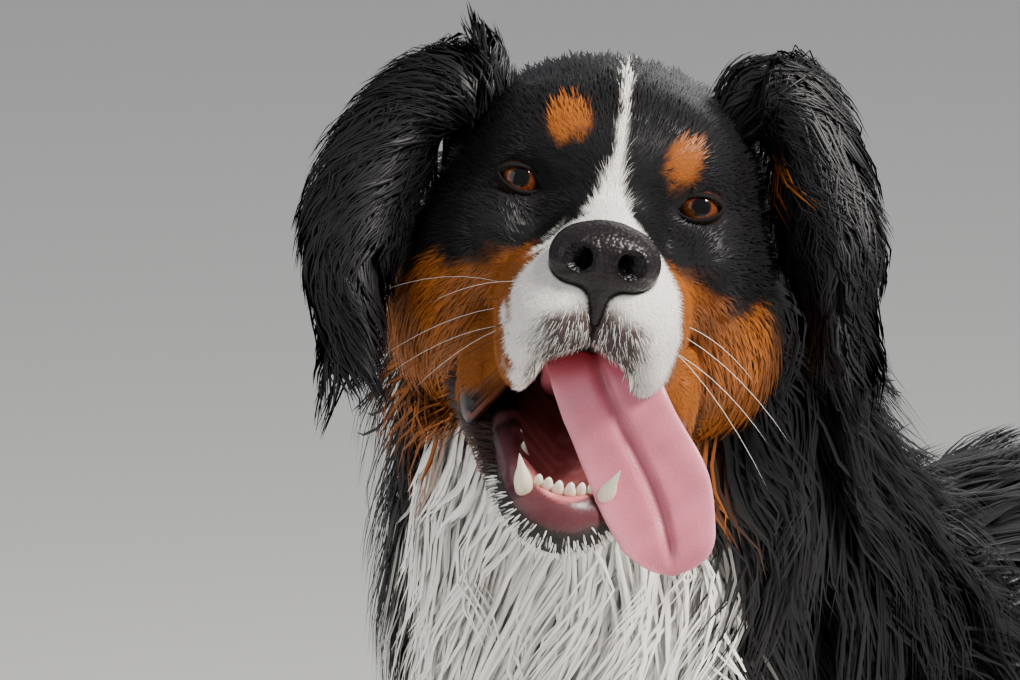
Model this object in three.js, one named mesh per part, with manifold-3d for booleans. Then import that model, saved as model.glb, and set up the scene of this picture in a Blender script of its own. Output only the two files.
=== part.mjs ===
// A life-size Bernese mountain dog, standing on its four paws, with its head turned to its left, its mouth
// open and its tongue hanging out. Millimetres, +Z up. The body faces -Y and the dog's left side is +X.
// The head is modelled in a frame of its own, whose origin lies midway between the eyes.
import * as THREE from 'three';
import { mergeVertices } from 'three/addons/utils/BufferGeometryUtils.js';
import Module from 'manifold-3d';

const wasm = await Module();
wasm.setup();

// Driving dimensions
const WITHERS = 655; // height of the shoulder top without its coat
const LENGTH = 690; // breastbone to buttock without the coat
const GAP = 0.9; // clearance between nodes that touch
const CORE = 15; // depth of the dense undercoat on the body
const TAIL_CORE = 9;
const LOCK_THICKNESS = 7;
const LOCK_GAP = 0.6; // clearance between locks that cross

// Heights and distances along the body that come from them
const FRONT = -0.457 * LENGTH;
const REAR = FRONT + LENGTH;
const CHEST_MID = 0.765 * WITHERS;
const ELBOW = 0.53 * WITHERS;
const WRIST = 0.22 * WITHERS;
const KNEE = 0.53 * WITHERS;
const HOCK = 0.285 * WITHERS;
const FORE_Y = FRONT + 0.19 * LENGTH;
const HIND_Y = REAR - 0.045 * LENGTH;
const TRACK = 0.122 * WITHERS; // half the distance between left and right feet

// Head placement
const EYES_AT = [140, FRONT - 93, 1.325 * WITHERS];
const HEAD_YAW = THREE.MathUtils.degToRad(53);
const HEAD_PITCH = THREE.MathUtils.degToRad(12);
const HEAD_ROLL = THREE.MathUtils.degToRad(9.6);
const JAW_OPEN = THREE.MathUtils.degToRad(27);
const JAW_HINGE = [0, 70, -30];

// Head sizes, in its own frame
const EYE_SPREAD = 40;
const EYE_RADIUS = 11.5;

const vec = (p) => new THREE.Vector3(...p);
const clamp = THREE.MathUtils.clamp;
const lerp = THREE.MathUtils.lerp;

// Random numbers from a fixed seed
let seed = 20240611;
function random(low = 0, high = 1) {
  seed = (seed * 1664525 + 1013904223) % 4294967296;
  return low + (high - low) * (seed / 4294967296);
}

// Fields: each gives roughly the distance from p to a surface, negative inside it

function ellipsoid(p, [cx, cy, cz], [rx, ry, rz]) {
  const x = p.x - cx;
  const y = p.y - cy;
  const z = p.z - cz;
  const far = Math.hypot(x / rx, y / ry, z / rz);
  const slope = Math.hypot(x / rx ** 2, y / ry ** 2, z / rz ** 2);
  return slope > 1e-9 ? (far * (far - 1)) / slope : -Math.min(rx, ry, rz);
}

function roundBar(p, a, b, ra, rb) {
  const start = vec(a);
  const axis = vec(b).sub(start);
  const offset = p.clone().sub(start);
  const t = clamp(offset.dot(axis) / axis.lengthSq(), 0, 1);
  return offset.addScaledVector(axis, -t).length() - lerp(ra, rb, t);
}

// The lesser of two fields, with the crease between them filled over a width k
function blend(a, b, k) {
  const h = Math.max(k - Math.abs(a - b), 0) / k;
  return Math.min(a, b) - (h * h * k) / 4;
}

function carve(a, b, k) {
  return -blend(-a, b, k);
}

// The head above the mouth
function headField(point) {
  const p = point.clone();
  p.x = Math.abs(p.x);
  let d = ellipsoid(p, [0, 64, 4], [69, 82, 56]); // skull
  d = blend(d, ellipsoid(p, [0, 26, 12], [34, 36, 33]), 22); // forehead
  d = blend(d, ellipsoid(p, [29, 15, 17], [25, 27, 24]), 14); // brows
  d = blend(d, ellipsoid(p, [47, 27, -27], [25, 42, 27]), 16); // cheekbones
  d = blend(d, ellipsoid(p, [53, 66, -46], [33, 50, 48]), 18); // cheeks
  d = blend(d, roundBar(p, [0, 8, -24], [0, -80, -34], 24, 20), 14); // bridge of the muzzle
  d = blend(d, roundBar(p, [18, -2, -50], [15, -74, -50], 26, 22), 12); // sides of the muzzle
  d = blend(d, ellipsoid(p, [27, -44, -64], [14, 42, 29]), 10); // flews
  d = blend(d, ellipsoid(p, [14.5, -80, -55], [18.5, 16, 20]), 6); // front lip pads
  d = blend(d, ellipsoid(p, [45, -2, -88], [8, 26, 24]), 9); // loose lip at the corner of the mouth
  d = carve(d, ellipsoid(p, [0, -36, -92], [20, 66, 29]), 5); // roof of the mouth
  d = carve(d, ellipsoid(p, [EYE_SPREAD + 1, -12, 0], [15, 13, 9]), 6); // eye sockets
  return d;
}

// The lower jaw, in the place it has when the mouth is shut
function jawField(point) {
  const p = point.clone();
  p.x = Math.abs(p.x);
  let d = roundBar(p, [42, 62, -70], [16, -74, -80], 24, 12); // sides
  d = blend(d, ellipsoid(p, [0, -82, -80], [22, 15, 14]), 10); // chin
  d = blend(d, ellipsoid(p, [0, -6, -92], [28, 84, 15]), 12); // floor of the mouth
  d = blend(d, ellipsoid(p, [0, 66, -92], [52, 52, 34]), 20); // throat
  d = blend(d, roundBar(p, [43, 26, -60], [21, -72, -68], 8, 6), 4); // lower lips
  d = carve(d, ellipsoid(p, [0, -30, -62], [22, 62, 17]), 4); // between the gums
  return d;
}

function noseField(point) {
  const p = point.clone();
  p.x = Math.abs(p.x);
  let d = ellipsoid(p, [0, -93, -28], [21, 15, 14]);
  d = blend(d, ellipsoid(p, [12.5, -95, -32], [12, 13, 12]), 6); // wings
  d = blend(d, roundBar(p, [0, -96, -40], [0, -92, -58], 7.5, 2.2), 7); // lower edge
  d = carve(d, roundBar(p, [10, -118, -34], [12.5, -94, -31], 6.2, 5), 2); // nostrils
  d = carve(d, roundBar(p, [13, -112, -38], [24, -98, -41], 3, 2), 2); // nostril slits
  d = carve(d, roundBar(p, [0, -113, -36], [0, -101, -62], 1.4, 2.2), 2); // cleft
  return d;
}

// A paw that points forwards along -Y, its wrist at the top, its sole at z = 0
const PAW_TOES = [
  { at: [-27, -20, 17], size: [14, 25, 18] },
  { at: [-10, -33, 19], size: [14.5, 28, 21] },
  { at: [10, -33, 19], size: [14.5, 28, 21] },
  { at: [27, -20, 17], size: [14, 25, 18] },
];

function pawField(p) {
  let d = ellipsoid(p, [0, 5, 24], [35, 38, 27]);
  d = blend(d, roundBar(p, [0, 22, 78], [0, 12, 36], 25, 28), 16);
  for (const toe of PAW_TOES) d = blend(d, ellipsoid(p, toe.at, toe.size), 3.5);
  return d;
}

// Moves every vertex of a closed three.js grid by a function of its place
function reshape(geometry, move) {
  const made = geometry.clone();
  made.deleteAttribute('normal');
  made.deleteAttribute('uv');
  const place = made.getAttribute('position');
  for (let i = 0; i < place.count; i++) {
    const moved = move(new THREE.Vector3().fromBufferAttribute(place, i));
    place.setXYZ(i, moved.x, moved.y, moved.z);
  }
  return mergeVertices(made, 1e-4);
}

// Draws a capsule's grid onto a field. Each vertex lies on its own ray from the capsule's axis, at the
// outermost place where the field has the value grow.
function wrap(field, { from, to, rings, sides, steps, reach = 130 }, grow = 0) {
  const start = vec(from);
  const end = vec(to);
  const length = start.distanceTo(end);
  const turn = new THREE.Quaternion().setFromUnitVectors(
    new THREE.Vector3(0, 1, 0),
    end.clone().sub(start).normalize(),
  );
  const middle = start.clone().lerp(end, 0.5);
  const grid = new THREE.CapsuleGeometry(1, length, rings, sides, steps);
  return reshape(grid, (v) => {
    const onAxis = new THREE.Vector3(0, clamp(v.y, -length / 2, length / 2), 0);
    const ray = v.clone().sub(onAxis).normalize().applyQuaternion(turn);
    const origin = onAxis.applyQuaternion(turn).add(middle);
    const at = (r) => origin.clone().addScaledVector(ray, r);
    let outside = reach;
    let inside = 0;
    for (let r = reach; r > 0; r -= 2.5) {
      if (field(at(r)) < grow) {
        inside = r;
        break;
      }
      outside = r;
    }
    for (let i = 0; i < 12; i++) {
      const half = (inside + outside) / 2;
      if (field(at(half)) < grow) inside = half;
      else outside = half;
    }
    return at(Math.max(inside, 1));
  });
}

// A tube along a smooth path. Each key is a place on the path and the half widths across, above and below.
class Limb {
  constructor(keys, { side = [1, 0, 0], square = 1, cup = 0 } = {}) {
    this.path = new THREE.CatmullRomCurve3(keys.map((key) => vec(key.at)), false, 'catmullrom', 0.5);
    this.sizes = new THREE.CatmullRomCurve3(keys.map((key) => vec(key.size)), false, 'catmullrom', 0.5);
    this.hint = vec(side);
    this.square = square;
    this.cup = cup;
  }

  frame(t) {
    const along = this.path.getTangent(t);
    const side = this.hint.clone().addScaledVector(along, -this.hint.dot(along)).normalize();
    return { centre: this.path.getPoint(t), along, side, up: side.clone().cross(along) };
  }

  // A point of the surface at an angle from the side (0) through the top (a quarter turn)
  point(t, angle, grow = 0) {
    const { centre, side, up } = this.frame(t);
    const size = this.sizes.getPoint(t);
    const c = Math.cos(angle);
    const s = Math.sin(angle);
    const across = (size.x + grow) * Math.sign(c) * Math.abs(c) ** this.square;
    const high = ((s > 0 ? size.y : size.z) + grow) * Math.sign(s) * Math.abs(s) ** this.square;
    return centre.addScaledVector(side, across).addScaledVector(up, high - this.cup * (1 - c * c));
  }

  normal(t, angle) {
    const e = 0.01;
    const a = clamp(t, e, 1 - e);
    const round = this.point(a, angle + e).sub(this.point(a, angle - e));
    const onward = this.point(a + e, angle).sub(this.point(a - e, angle));
    return onward.cross(round).normalize();
  }

  // The closed tube, with flat ends
  geometry(sides, steps, grow = 0) {
    const grid = new THREE.SphereGeometry(1, sides, steps);
    return reshape(grid, (v) => {
      const ring = Math.round((Math.acos(clamp(v.y, -1, 1)) / Math.PI) * steps);
      const t = clamp((ring - 1) / (steps - 2), 0, 1);
      if (ring === 0 || ring === steps) {
        const { centre, along } = this.frame(t);
        return centre.addScaledVector(along, ring === 0 ? -grow : grow);
      }
      const placed = this.point(t, Math.atan2(v.z, -v.x), grow);
      const { along } = this.frame(t);
      return placed.addScaledVector(along, ring === 1 ? -grow : ring === steps - 1 ? grow : 0);
    });
  }
}

function mirrored(geometry) {
  const made = geometry.clone().applyMatrix4(new THREE.Matrix4().makeScale(-1, 1, 1));
  const index = made.getIndex();
  for (let i = 0; i < index.count; i += 3) {
    const first = index.getX(i);
    index.setX(i, index.getX(i + 1));
    index.setX(i + 1, first);
  }
  return made;
}

// Solids

function solid(geometry, matrix = null) {
  const placed = geometry.clone();
  placed.deleteAttribute('normal');
  placed.deleteAttribute('uv');
  if (matrix) placed.applyMatrix4(matrix);
  const merged = mergeVertices(placed, 1e-4);
  return new wasm.Manifold(
    new wasm.Mesh({
      numProp: 3,
      vertProperties: new Float32Array(merged.getAttribute('position').array),
      triVerts: new Uint32Array(merged.getIndex().array),
    }),
  );
}

const join = (solids) => wasm.Manifold.union(solids);

function largest(made) {
  const pieces = made.decompose();
  return pieces.sort((a, b) => b.volume() - a.volume())[0].simplify(0.02);
}

function box(size, at, turn = [0, 0, 0]) {
  const placed = new THREE.Matrix4().compose(
    vec(at),
    new THREE.Quaternion().setFromEuler(new THREE.Euler(...turn)),
    new THREE.Vector3(1, 1, 1),
  );
  return solid(new THREE.BoxGeometry(...size), placed);
}

// A body part before and after it is grown by the gap that its neighbours keep from it
function pair(make) {
  return { plain: make(0), grown: make(GAP) };
}

// Coat

// One lock of long hair: a flat blade, ridged above, that leaves its root along one way, lifts clear of
// the skin, sags under its weight and tapers to a point.
function lock(shape, grow = 0) {
  const { root, along, out, length, width, lift, sag, sweep } = shape;
  const side = along.clone().cross(out).normalize();
  const down = new THREE.Vector3(0, 0, -1);
  const line = (s) =>
    root
      .clone()
      .addScaledVector(along, length * s)
      .addScaledVector(out, length * lift * s * (1.25 - 0.5 * s))
      .addScaledVector(side, length * sweep * s * s)
      .addScaledVector(down, length * sag * s * s);
  return reshape(new THREE.ConeGeometry(1, 1, 3, 4), (v) => {
    const s = v.y + 0.5;
    const tip = s > 0.999;
    const shrink = tip ? 1 : 1 - s;
    const across = v.x / shrink / 0.866;
    const high = (v.z / shrink + 0.5) / 1.5;
    const ahead = line(Math.min(s + 0.02, 1)).sub(line(Math.min(s + 0.02, 1) - 0.04)).normalize();
    const edge = ahead.clone().cross(out).normalize();
    const normal = edge.clone().cross(ahead);
    const place = line(s);
    if (s < 0.001) place.addScaledVector(ahead, -grow * 3);
    if (tip) return place.addScaledVector(ahead, grow * 8);
    const half = (width / 2) * (0.62 + 1.5 * s - 1.85 * s * s) + grow * 8;
    const rise = LOCK_THICKNESS * (1 - 0.65 * s);
    place.addScaledVector(edge, across * half);
    return place.addScaledVector(normal, lerp(-0.35 * rise - grow, 0.65 * rise + 1.1 * grow, high));
  });
}

// Rows of locks over part of a limb, every other row shifted by half a lock. The lie runs along the limb
// and is turned downwards by fall.
function coat(limb, layout) {
  const { t, angle, rows, count, length, width, lift, sag = 0.1, fall = 0, sink = 7, grow = 0 } = layout;
  const list = [];
  for (let row = 0; row < rows; row++) {
    for (let i = 0; i < count; i++) {
      const shift = row % 2 ? 0.75 : 0.25;
      const at = lerp(t[0], t[1], rows > 1 ? row / (rows - 1) : 0.5) + random(-0.012, 0.012);
      const round = THREE.MathUtils.degToRad(lerp(angle[0], angle[1], (i + shift) / count) + random(-3, 3));
      const out = limb.normal(at, round);
      const lie = limb.frame(at).along.clone().add(new THREE.Vector3(0, 0, -fall));
      lie.addScaledVector(out, -lie.dot(out)).normalize();
      list.push({
        root: limb.point(at, round, grow - sink),
        along: lie,
        out,
        length: length * random(0.88, 1.12),
        width: width * random(0.9, 1.1),
        lift: lift * random(0.85, 1.15),
        sag,
        sweep: random(-0.12, 0.12),
      });
    }
  }
  return list;
}

// Roots a coat in a node. Its locks are cut clear of the other nodes and of the locks laid before them.
function dress(parts, name, list, laid, matrix = null) {
  const others = Object.keys(parts).filter((other) => other !== name);
  const taken = join([...others.map((other) => parts[other].grown), ...laid]);
  const locks = join(list.map((one) => solid(lock(one), matrix)));
  parts[name].dressed = largest(join([parts[name].plain, locks.subtract(taken)])).simplify(0.12);
  laid.push(join(list.map((one) => solid(lock(one, LOCK_GAP), matrix))));
}

// The trunk, from the breastbone to the buttocks
const trunk = new Limb([
  { at: [0, FRONT, CHEST_MID - 8], size: [44, 48, 52] },
  { at: [0, FRONT + 40, CHEST_MID - 4], size: [86, 98, 98] },
  { at: [0, FRONT + 120, CHEST_MID], size: [108, 148, 142] },
  { at: [0, FRONT + 225, CHEST_MID], size: [119, 156, 158] },
  { at: [0, FRONT + 330, CHEST_MID], size: [120, 149, 156] },
  { at: [0, FRONT + 430, CHEST_MID + 14], size: [111, 130, 136] },
  { at: [0, FRONT + 520, CHEST_MID + 28], size: [99, 108, 108] },
  { at: [0, FRONT + 600, CHEST_MID + 30], size: [97, 102, 104] },
  { at: [0, FRONT + 660, CHEST_MID + 20], size: [80, 86, 92] },
  { at: [0, REAR, CHEST_MID + 8], size: [44, 48, 52] },
]);

// The neck, from the back of the skull down to the shoulders
const neck = new Limb([
  { at: [88, FRONT - 52, 1.3 * WITHERS], size: [44, 40, 44] },
  { at: [62, FRONT - 30, 1.245 * WITHERS], size: [70, 66, 70] },
  { at: [44, FRONT - 8, 1.165 * WITHERS], size: [86, 86, 92] },
  { at: [22, FRONT + 28, 1.045 * WITHERS], size: [95, 98, 106] },
  { at: [4, FRONT + 74, 0.92 * WITHERS], size: [108, 116, 122] },
  { at: [0, FRONT + 130, 0.82 * WITHERS], size: [110, 120, 120] },
]);

const tail = new Limb([
  { at: [0, REAR - 26, 0.885 * WITHERS], size: [30, 30, 30] },
  { at: [0, REAR + 34, 0.825 * WITHERS], size: [27, 27, 27] },
  { at: [2, REAR + 70, 0.68 * WITHERS], size: [25, 25, 25] },
  { at: [6, REAR + 78, 0.5 * WITHERS], size: [21, 21, 21] },
  { at: [12, REAR + 92, 0.36 * WITHERS], size: [11, 11, 11] },
]);

function foreLeg(side) {
  return new Limb([
    { at: [side * (TRACK + 4), FORE_Y - 38, 0.7 * WITHERS], size: [46, 74, 58] },
    { at: [side * (TRACK + 6), FORE_Y + 12, 0.6 * WITHERS], size: [44, 62, 50] },
    { at: [side * (TRACK + 6), FORE_Y + 28, ELBOW], size: [38, 46, 44] },
    { at: [side * TRACK, FORE_Y + 12, 0.42 * WITHERS], size: [34, 38, 38] },
    { at: [side * TRACK, FORE_Y + 2, 0.31 * WITHERS], size: [30, 33, 32] },
    { at: [side * TRACK, FORE_Y, WRIST], size: [30, 31, 32] },
    { at: [side * TRACK, FORE_Y - 4, 0.15 * WITHERS], size: [28, 30, 28] },
    { at: [side * TRACK, FORE_Y - 12, 0.088 * WITHERS], size: [28, 30, 27] },
  ]);
}

function hindLeg(side) {
  return new Limb([
    { at: [side * (TRACK - 14), HIND_Y - 66, 0.79 * WITHERS], size: [50, 88, 84] },
    { at: [side * (TRACK - 2), HIND_Y - 74, 0.68 * WITHERS], size: [50, 84, 80] },
    { at: [side * (TRACK + 10), HIND_Y - 96, 0.585 * WITHERS], size: [46, 70, 60] },
    { at: [side * (TRACK + 12), HIND_Y - 88, 0.49 * WITHERS], size: [38, 54, 46] },
    { at: [side * (TRACK + 8), HIND_Y - 42, 0.39 * WITHERS], size: [30, 38, 36] },
    { at: [side * (TRACK + 4), HIND_Y - 4, HOCK], size: [25, 33, 30] },
    { at: [side * (TRACK + 4), HIND_Y + 2, 0.2 * WITHERS], size: [24, 28, 27] },
    { at: [side * (TRACK + 4), HIND_Y - 8, 0.09 * WITHERS], size: [26, 28, 27] },
  ]);
}

// The ears, in the head's frame. The left one is flung up and out and the right one hangs.
const EAR_LEFT = [
  { at: [36, 50, 28], size: [10, 8, 8] },
  { at: [53, 48, 50], size: [13, 8, 8] },
  { at: [70, 46, 59], size: [16, 8, 8] },
  { at: [85, 43, 42], size: [19, 7, 7] },
  { at: [97, 39, 12], size: [22, 7, 7] },
  { at: [107, 36, -14], size: [21, 6, 6] },
  { at: [114, 34, -38], size: [10, 4, 4] },
];
const EAR_RIGHT = [
  { at: [-38, 50, 20], size: [10, 8, 8] },
  { at: [-60, 49, 38], size: [14, 8, 8] },
  { at: [-80, 47, 34], size: [18, 8, 8] },
  { at: [-99, 42, 10], size: [22, 7, 7] },
  { at: [-109, 38, -22], size: [23, 7, 7] },
  { at: [-110, 34, -54], size: [20, 6, 6] },
  { at: [-104, 32, -84], size: [10, 4, 4] },
];
const earLeft = new Limb(EAR_LEFT, { side: [0.86, -0.42, 0.3], cup: 8 });
const earRight = new Limb(EAR_RIGHT, { side: [0.86, 0.42, -0.3], cup: 8 });

const tongue = new Limb(
  [
    { at: [0, 16, -86], size: [17, 7, 9] },
    { at: [1, -26, -82], size: [19, 6, 8] },
    { at: [5, -50, -77], size: [22, 5.5, 6.5] },
    { at: [14, -58, -90], size: [24, 5, 5.5] },
    { at: [27, -57, -109], size: [25, 4.5, 5] },
    { at: [40, -58, -128], size: [26, 4, 4.5] },
    { at: [49, -60, -147], size: [22, 3.5, 4] },
    { at: [53, -60, -162], size: [10, 2.5, 3] },
  ],
  { side: [0.92, -0.3, 0.25], square: 0.9 },
);

const headMatrix = new THREE.Matrix4().makeTranslation(...EYES_AT);
headMatrix.multiply(new THREE.Matrix4().makeRotationZ(HEAD_YAW));
headMatrix.multiply(new THREE.Matrix4().makeRotationX(-HEAD_PITCH));
headMatrix.multiply(new THREE.Matrix4().makeRotationY(HEAD_ROLL));

const hinge = new THREE.Matrix4().makeTranslation(...JAW_HINGE);
const jawMatrix = hinge
  .clone()
  .multiply(new THREE.Matrix4().makeRotationX(JAW_OPEN))
  .multiply(hinge.clone().invert());

// A tooth or claw: a curved cone from its root to its tip
function spike(root, tip, radius, hook = 0, sides = 5) {
  const from = vec(root);
  const way = vec(tip).sub(from);
  const length = way.length();
  const along = way.clone().normalize();
  const across = new THREE.Vector3(1, 0, 0).addScaledVector(along, -along.x).normalize();
  const back = along.clone().cross(across);
  return reshape(new THREE.ConeGeometry(1, 1, sides, 2), (v) => {
    const s = v.y + 0.5;
    const full = radius * (s > 0.4 ? 1.25 : 1);
    return from
      .clone()
      .addScaledVector(along, s * length)
      .addScaledVector(across, v.x * full)
      .addScaledVector(back, -v.z * full + hook * s * s);
  });
}

function bothSides(list) {
  return list.flatMap((one) => [one, mirrored(one)]);
}

// Teeth of the shut lower jaw: incisors, canines and the first cheek teeth
function lowerTeeth() {
  const teeth = [];
  for (const x of [2.6, 7.4, 11.8]) {
    teeth.push(spike([x, -84 + x * 0.35, -72], [x, -89 + x * 0.3, -60], 2.6, 0));
  }
  teeth.push(spike([17, -83, -73], [22, -93, -46], 4.6, -3, 6));
  for (let i = 0; i < 3; i++) {
    const x = 20 + 2 * i;
    const y = -58 + 14 * i;
    teeth.push(spike([x, y, -74], [x + 0.5, y - 1, -60], 4.2));
  }
  return bothSides(teeth);
}

function upperTeeth() {
  const teeth = [];
  teeth.push(spike([20, -72, -62], [21, -76, -86], 4.8, -3, 6));
  for (let i = 0; i < 3; i++) {
    const x = 23 + 1.5 * i;
    const y = -50 + 15 * i;
    teeth.push(spike([x, y, -64], [x + 0.5, y - 1, -82], 4.6));
  }
  return bothSides(teeth);
}

// Both lids as one almond ring round the front of the eye
function lids() {
  return reshape(new THREE.TorusGeometry(1, 0.3, 5, 14), (v) => {
    const wide = v.x * 11.5;
    const high = v.y * 7.2 * (1 - 0.25 * v.x * v.x);
    const front = Math.sqrt(Math.max(EYE_RADIUS ** 2 - wide ** 2 * 0.7 - high ** 2, 4));
    return new THREE.Vector3(EYE_SPREAD + wide, 3 - front - v.z * 6, high);
  });
}

// Flesh of the head
const HEAD_GRID = { from: [0, -62, -40], to: [0, 66, -14], rings: 6, sides: 24, steps: 14 };
const JAW_GRID = { from: [0, -70, -84], to: [0, 62, -86], rings: 5, sides: 16, steps: 9 };
const NOSE_GRID = { from: [-6, -90, -32], to: [6, -90, -32], rings: 6, sides: 16, steps: 2, reach: 50 };

const eyeSphere = (x, grow) =>
  solid(new THREE.SphereGeometry(EYE_RADIUS + grow, 12, 8), new THREE.Matrix4().makeTranslation(x, 3, 0));
const eyeLeft = pair((grow) => eyeSphere(EYE_SPREAD, grow));
const eyeRight = pair((grow) => eyeSphere(-EYE_SPREAD, grow));
const nose = pair((grow) => solid(wrap(noseField, NOSE_GRID, grow)));

const headFlesh = pair((grow) => {
  const whole = join([
    solid(wrap(headField, HEAD_GRID, grow)),
    ...bothSides([lids()]).map((ring) => solid(ring)),
    ...upperTeeth().map((tooth) => solid(tooth)),
  ]);
  return largest(whole.subtract(join([eyeLeft.grown, eyeRight.grown, nose.grown])));
});

const jawFlesh = pair((grow) => {
  const whole = join([
    solid(wrap(jawField, JAW_GRID, grow), jawMatrix),
    ...lowerTeeth().map((tooth) => solid(tooth, jawMatrix)),
  ]);
  return largest(whole.subtract(headFlesh.grown));
});

const tongueFlesh = pair((grow) =>
  largest(solid(tongue.geometry(10, 16, grow)).subtract(join([headFlesh.grown, jawFlesh.grown]))),
);
const earLeftFlesh = pair((grow) => largest(solid(earLeft.geometry(10, 10, grow)).subtract(headFlesh.grown)));
const earRightFlesh = pair((grow) => largest(solid(earRight.geometry(10, 10, grow)).subtract(headFlesh.grown)));

// Flesh of the body, in the body's frame
const place = (made) => made.transform(headMatrix.elements);

function geometryOf(made) {
  const data = made.getMesh();
  const geometry = new THREE.BufferGeometry();
  geometry.setAttribute('position', new THREE.BufferAttribute(new Float32Array(data.vertProperties), 3));
  geometry.setIndex(new THREE.BufferAttribute(new Uint32Array(data.triVerts), 1));
  return geometry;
}

const parts = {
  head: headFlesh,
  lower_jaw: jawFlesh,
  tongue: tongueFlesh,
  nose,
  eye_left: eyeLeft,
  eye_right: eyeRight,
  ear_left: earLeftFlesh,
  ear_right: earRightFlesh,
};
for (const [name, part] of Object.entries(parts)) {
  parts[name] = { plain: place(part.plain), grown: place(part.grown) };
}
// A coarse, slightly larger head, which the neck and its coat keep clear of
const headBlock = place(
  join([
    solid(wrap(headField, { ...HEAD_GRID, rings: 5, sides: 18, steps: 9 }, 9)),
    solid(wrap(jawField, { ...JAW_GRID, rings: 4, sides: 12, steps: 6 }, 8), jawMatrix),
    solid(earLeft.geometry(8, 8, 3)),
    solid(earRight.geometry(8, 8, 3)),
  ]),
);

const trunkWhole = pair((grow) => solid(trunk.geometry(22, 18, CORE + grow)));
const neckWhole = pair((grow) =>
  largest(solid(neck.geometry(20, 11, CORE + grow)).subtract(join([headBlock, trunkWhole.grown]))),
);
const tailWhole = pair((grow) =>
  largest(solid(tail.geometry(10, 12, TAIL_CORE + grow)).subtract(trunkWhole.grown)),
);

function paw(side, y, size, grow) {
  const at = new THREE.Matrix4().makeTranslation(side * (TRACK + (y > 0 ? 4 : 0)), y, 0);
  at.multiply(new THREE.Matrix4().makeScale(size, size, size));
  const grid = { from: [0, -12, 22], to: [0, 8, 30], rings: 4, sides: 14, steps: 2, reach: 90 };
  const below = box([300, 300, 100], [side * TRACK, y, -50 - grow]);
  return solid(wrap(pawField, grid, grow), at).subtract(below);
}

// Cuts a solid in two where a plane crosses it, leaving the gap
function halves(made, at, turn) {
  const size = 2400;
  const normal = new THREE.Vector3(0, 0, 1).applyEuler(new THREE.Euler(...turn));
  const above = vec(at).addScaledVector(normal, (size - GAP) / 2).toArray();
  const below = vec(at).addScaledVector(normal, -(size - GAP) / 2).toArray();
  return [made.subtract(box([size, size, size], below, turn)), made.subtract(box([size, size, size], above, turn))];
}

function cutPair(whole, at, turn) {
  const [plainAbove, plainBelow] = halves(whole.plain, at, turn);
  const [grownAbove, grownBelow] = halves(whole.grown, at, turn);
  return [
    { plain: largest(plainAbove), grown: largest(grownAbove) },
    { plain: largest(plainBelow), grown: largest(grownBelow) },
  ];
}

const ACROSS = [Math.PI / 2, 0, 0]; // turns a level cut to face along the body, its upper side forwards
const [chest, afterChest] = cutPair(trunkWhole, [0, FRONT + 285, 0], ACROSS);
const [loin, rump] = cutPair(afterChest, [0, FRONT + 505, 0], ACROSS);
Object.assign(parts, { chest, loin, rump, neck: neckWhole, tail: tailWhole });

for (const [name, side] of [['left', 1], ['right', -1]]) {
  const fore = foreLeg(side);
  const hind = hindLeg(side);
  const foreWhole = pair((grow) => {
    const leg = solid(fore.geometry(12, 15, 5 + grow)).subtract(join([trunkWhole.grown, neckWhole.grown]));
    return join([largest(leg), paw(side, FORE_Y - 20, 1, grow)]);
  });
  const hindWhole = pair((grow) => {
    const leg = solid(hind.geometry(12, 16, 6 + grow)).subtract(trunkWhole.grown);
    return join([largest(leg), paw(side, HIND_Y - 18, 0.94, grow)]);
  });
  const [upperArm, foreRest] = cutPair(foreWhole, [0, 0, ELBOW - 14], [0, 0, 0]);
  const [forearm, pawFront] = cutPair(foreRest, [0, 0, 0.125 * WITHERS], [0, 0, 0]);
  const [thigh, hindRest] = cutPair(hindWhole, [0, HIND_Y - 90, KNEE - 8], [-0.5, 0, 0]);
  const [shank, pawHind] = cutPair(hindRest, [0, 0, 0.125 * WITHERS], [0, 0, 0]);
  parts['upper_arm_' + name] = upperArm;
  parts['forearm_' + name] = forearm;
  parts['paw_front_' + name] = pawFront;
  parts['thigh_' + name] = thigh;
  parts['shank_' + name] = shank;
  parts['paw_hind_' + name] = pawHind;
}

// Where each coat's locks grow on its limb: t and angle in degrees, how many, and their sizes. Lift is the
// rise over the length, fall turns the lie downwards, and grow is how far the core stands off the limb.
const EAR_COATS = [
  { t: [0.34, 0.66], angle: [25, 155], rows: 2, count: 2, length: 50, width: 26, lift: 0.22, sink: 4 },
  { t: [0.86, 0.86], angle: [90, 90], rows: 1, count: 1, length: 50, width: 26, lift: 0.1, sink: 4 },
];
const RUFF = {
  t: [0.24, 0.92], angle: [0, 360], rows: 4, count: 9, length: 96, width: 64, lift: 0.38, fall: 0.3, grow: CORE,
};
const CHEST_COAT = {
  t: [0.06, 0.36], angle: [-190, 10], rows: 3, count: 4, length: 88, width: 62, lift: 0.3, fall: 0.7, grow: CORE,
};
const LOIN_COAT = {
  t: [0.42, 0.66], angle: [0, 360], rows: 2, count: 8, length: 92, width: 60, lift: 0.26, fall: 0.5, grow: CORE,
};
const RUMP_COAT = {
  t: [0.74, 0.93], angle: [-30, 210], rows: 2, count: 4, length: 82, width: 62, lift: 0.26, fall: 0.6, grow: CORE,
};
const TAIL_PLUME = {
  t: [0.22, 0.92], angle: [0, 360], rows: 4, count: 3, length: 96, width: 46, lift: 0.34, grow: TAIL_CORE,
};
const ARM_COAT = { t: [0.04, 0.26], rows: 2, count: 3, length: 70, width: 46, lift: 0.24 };
const FORE_FEATHERS = { t: [0.34, 0.68], angle: [60, 120], rows: 4, count: 1, length: 58, width: 34, lift: 0.4 };
const BREECHES = { t: [0.06, 0.4], rows: 3, count: 2, length: 86, width: 56, lift: 0.3 };

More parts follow.
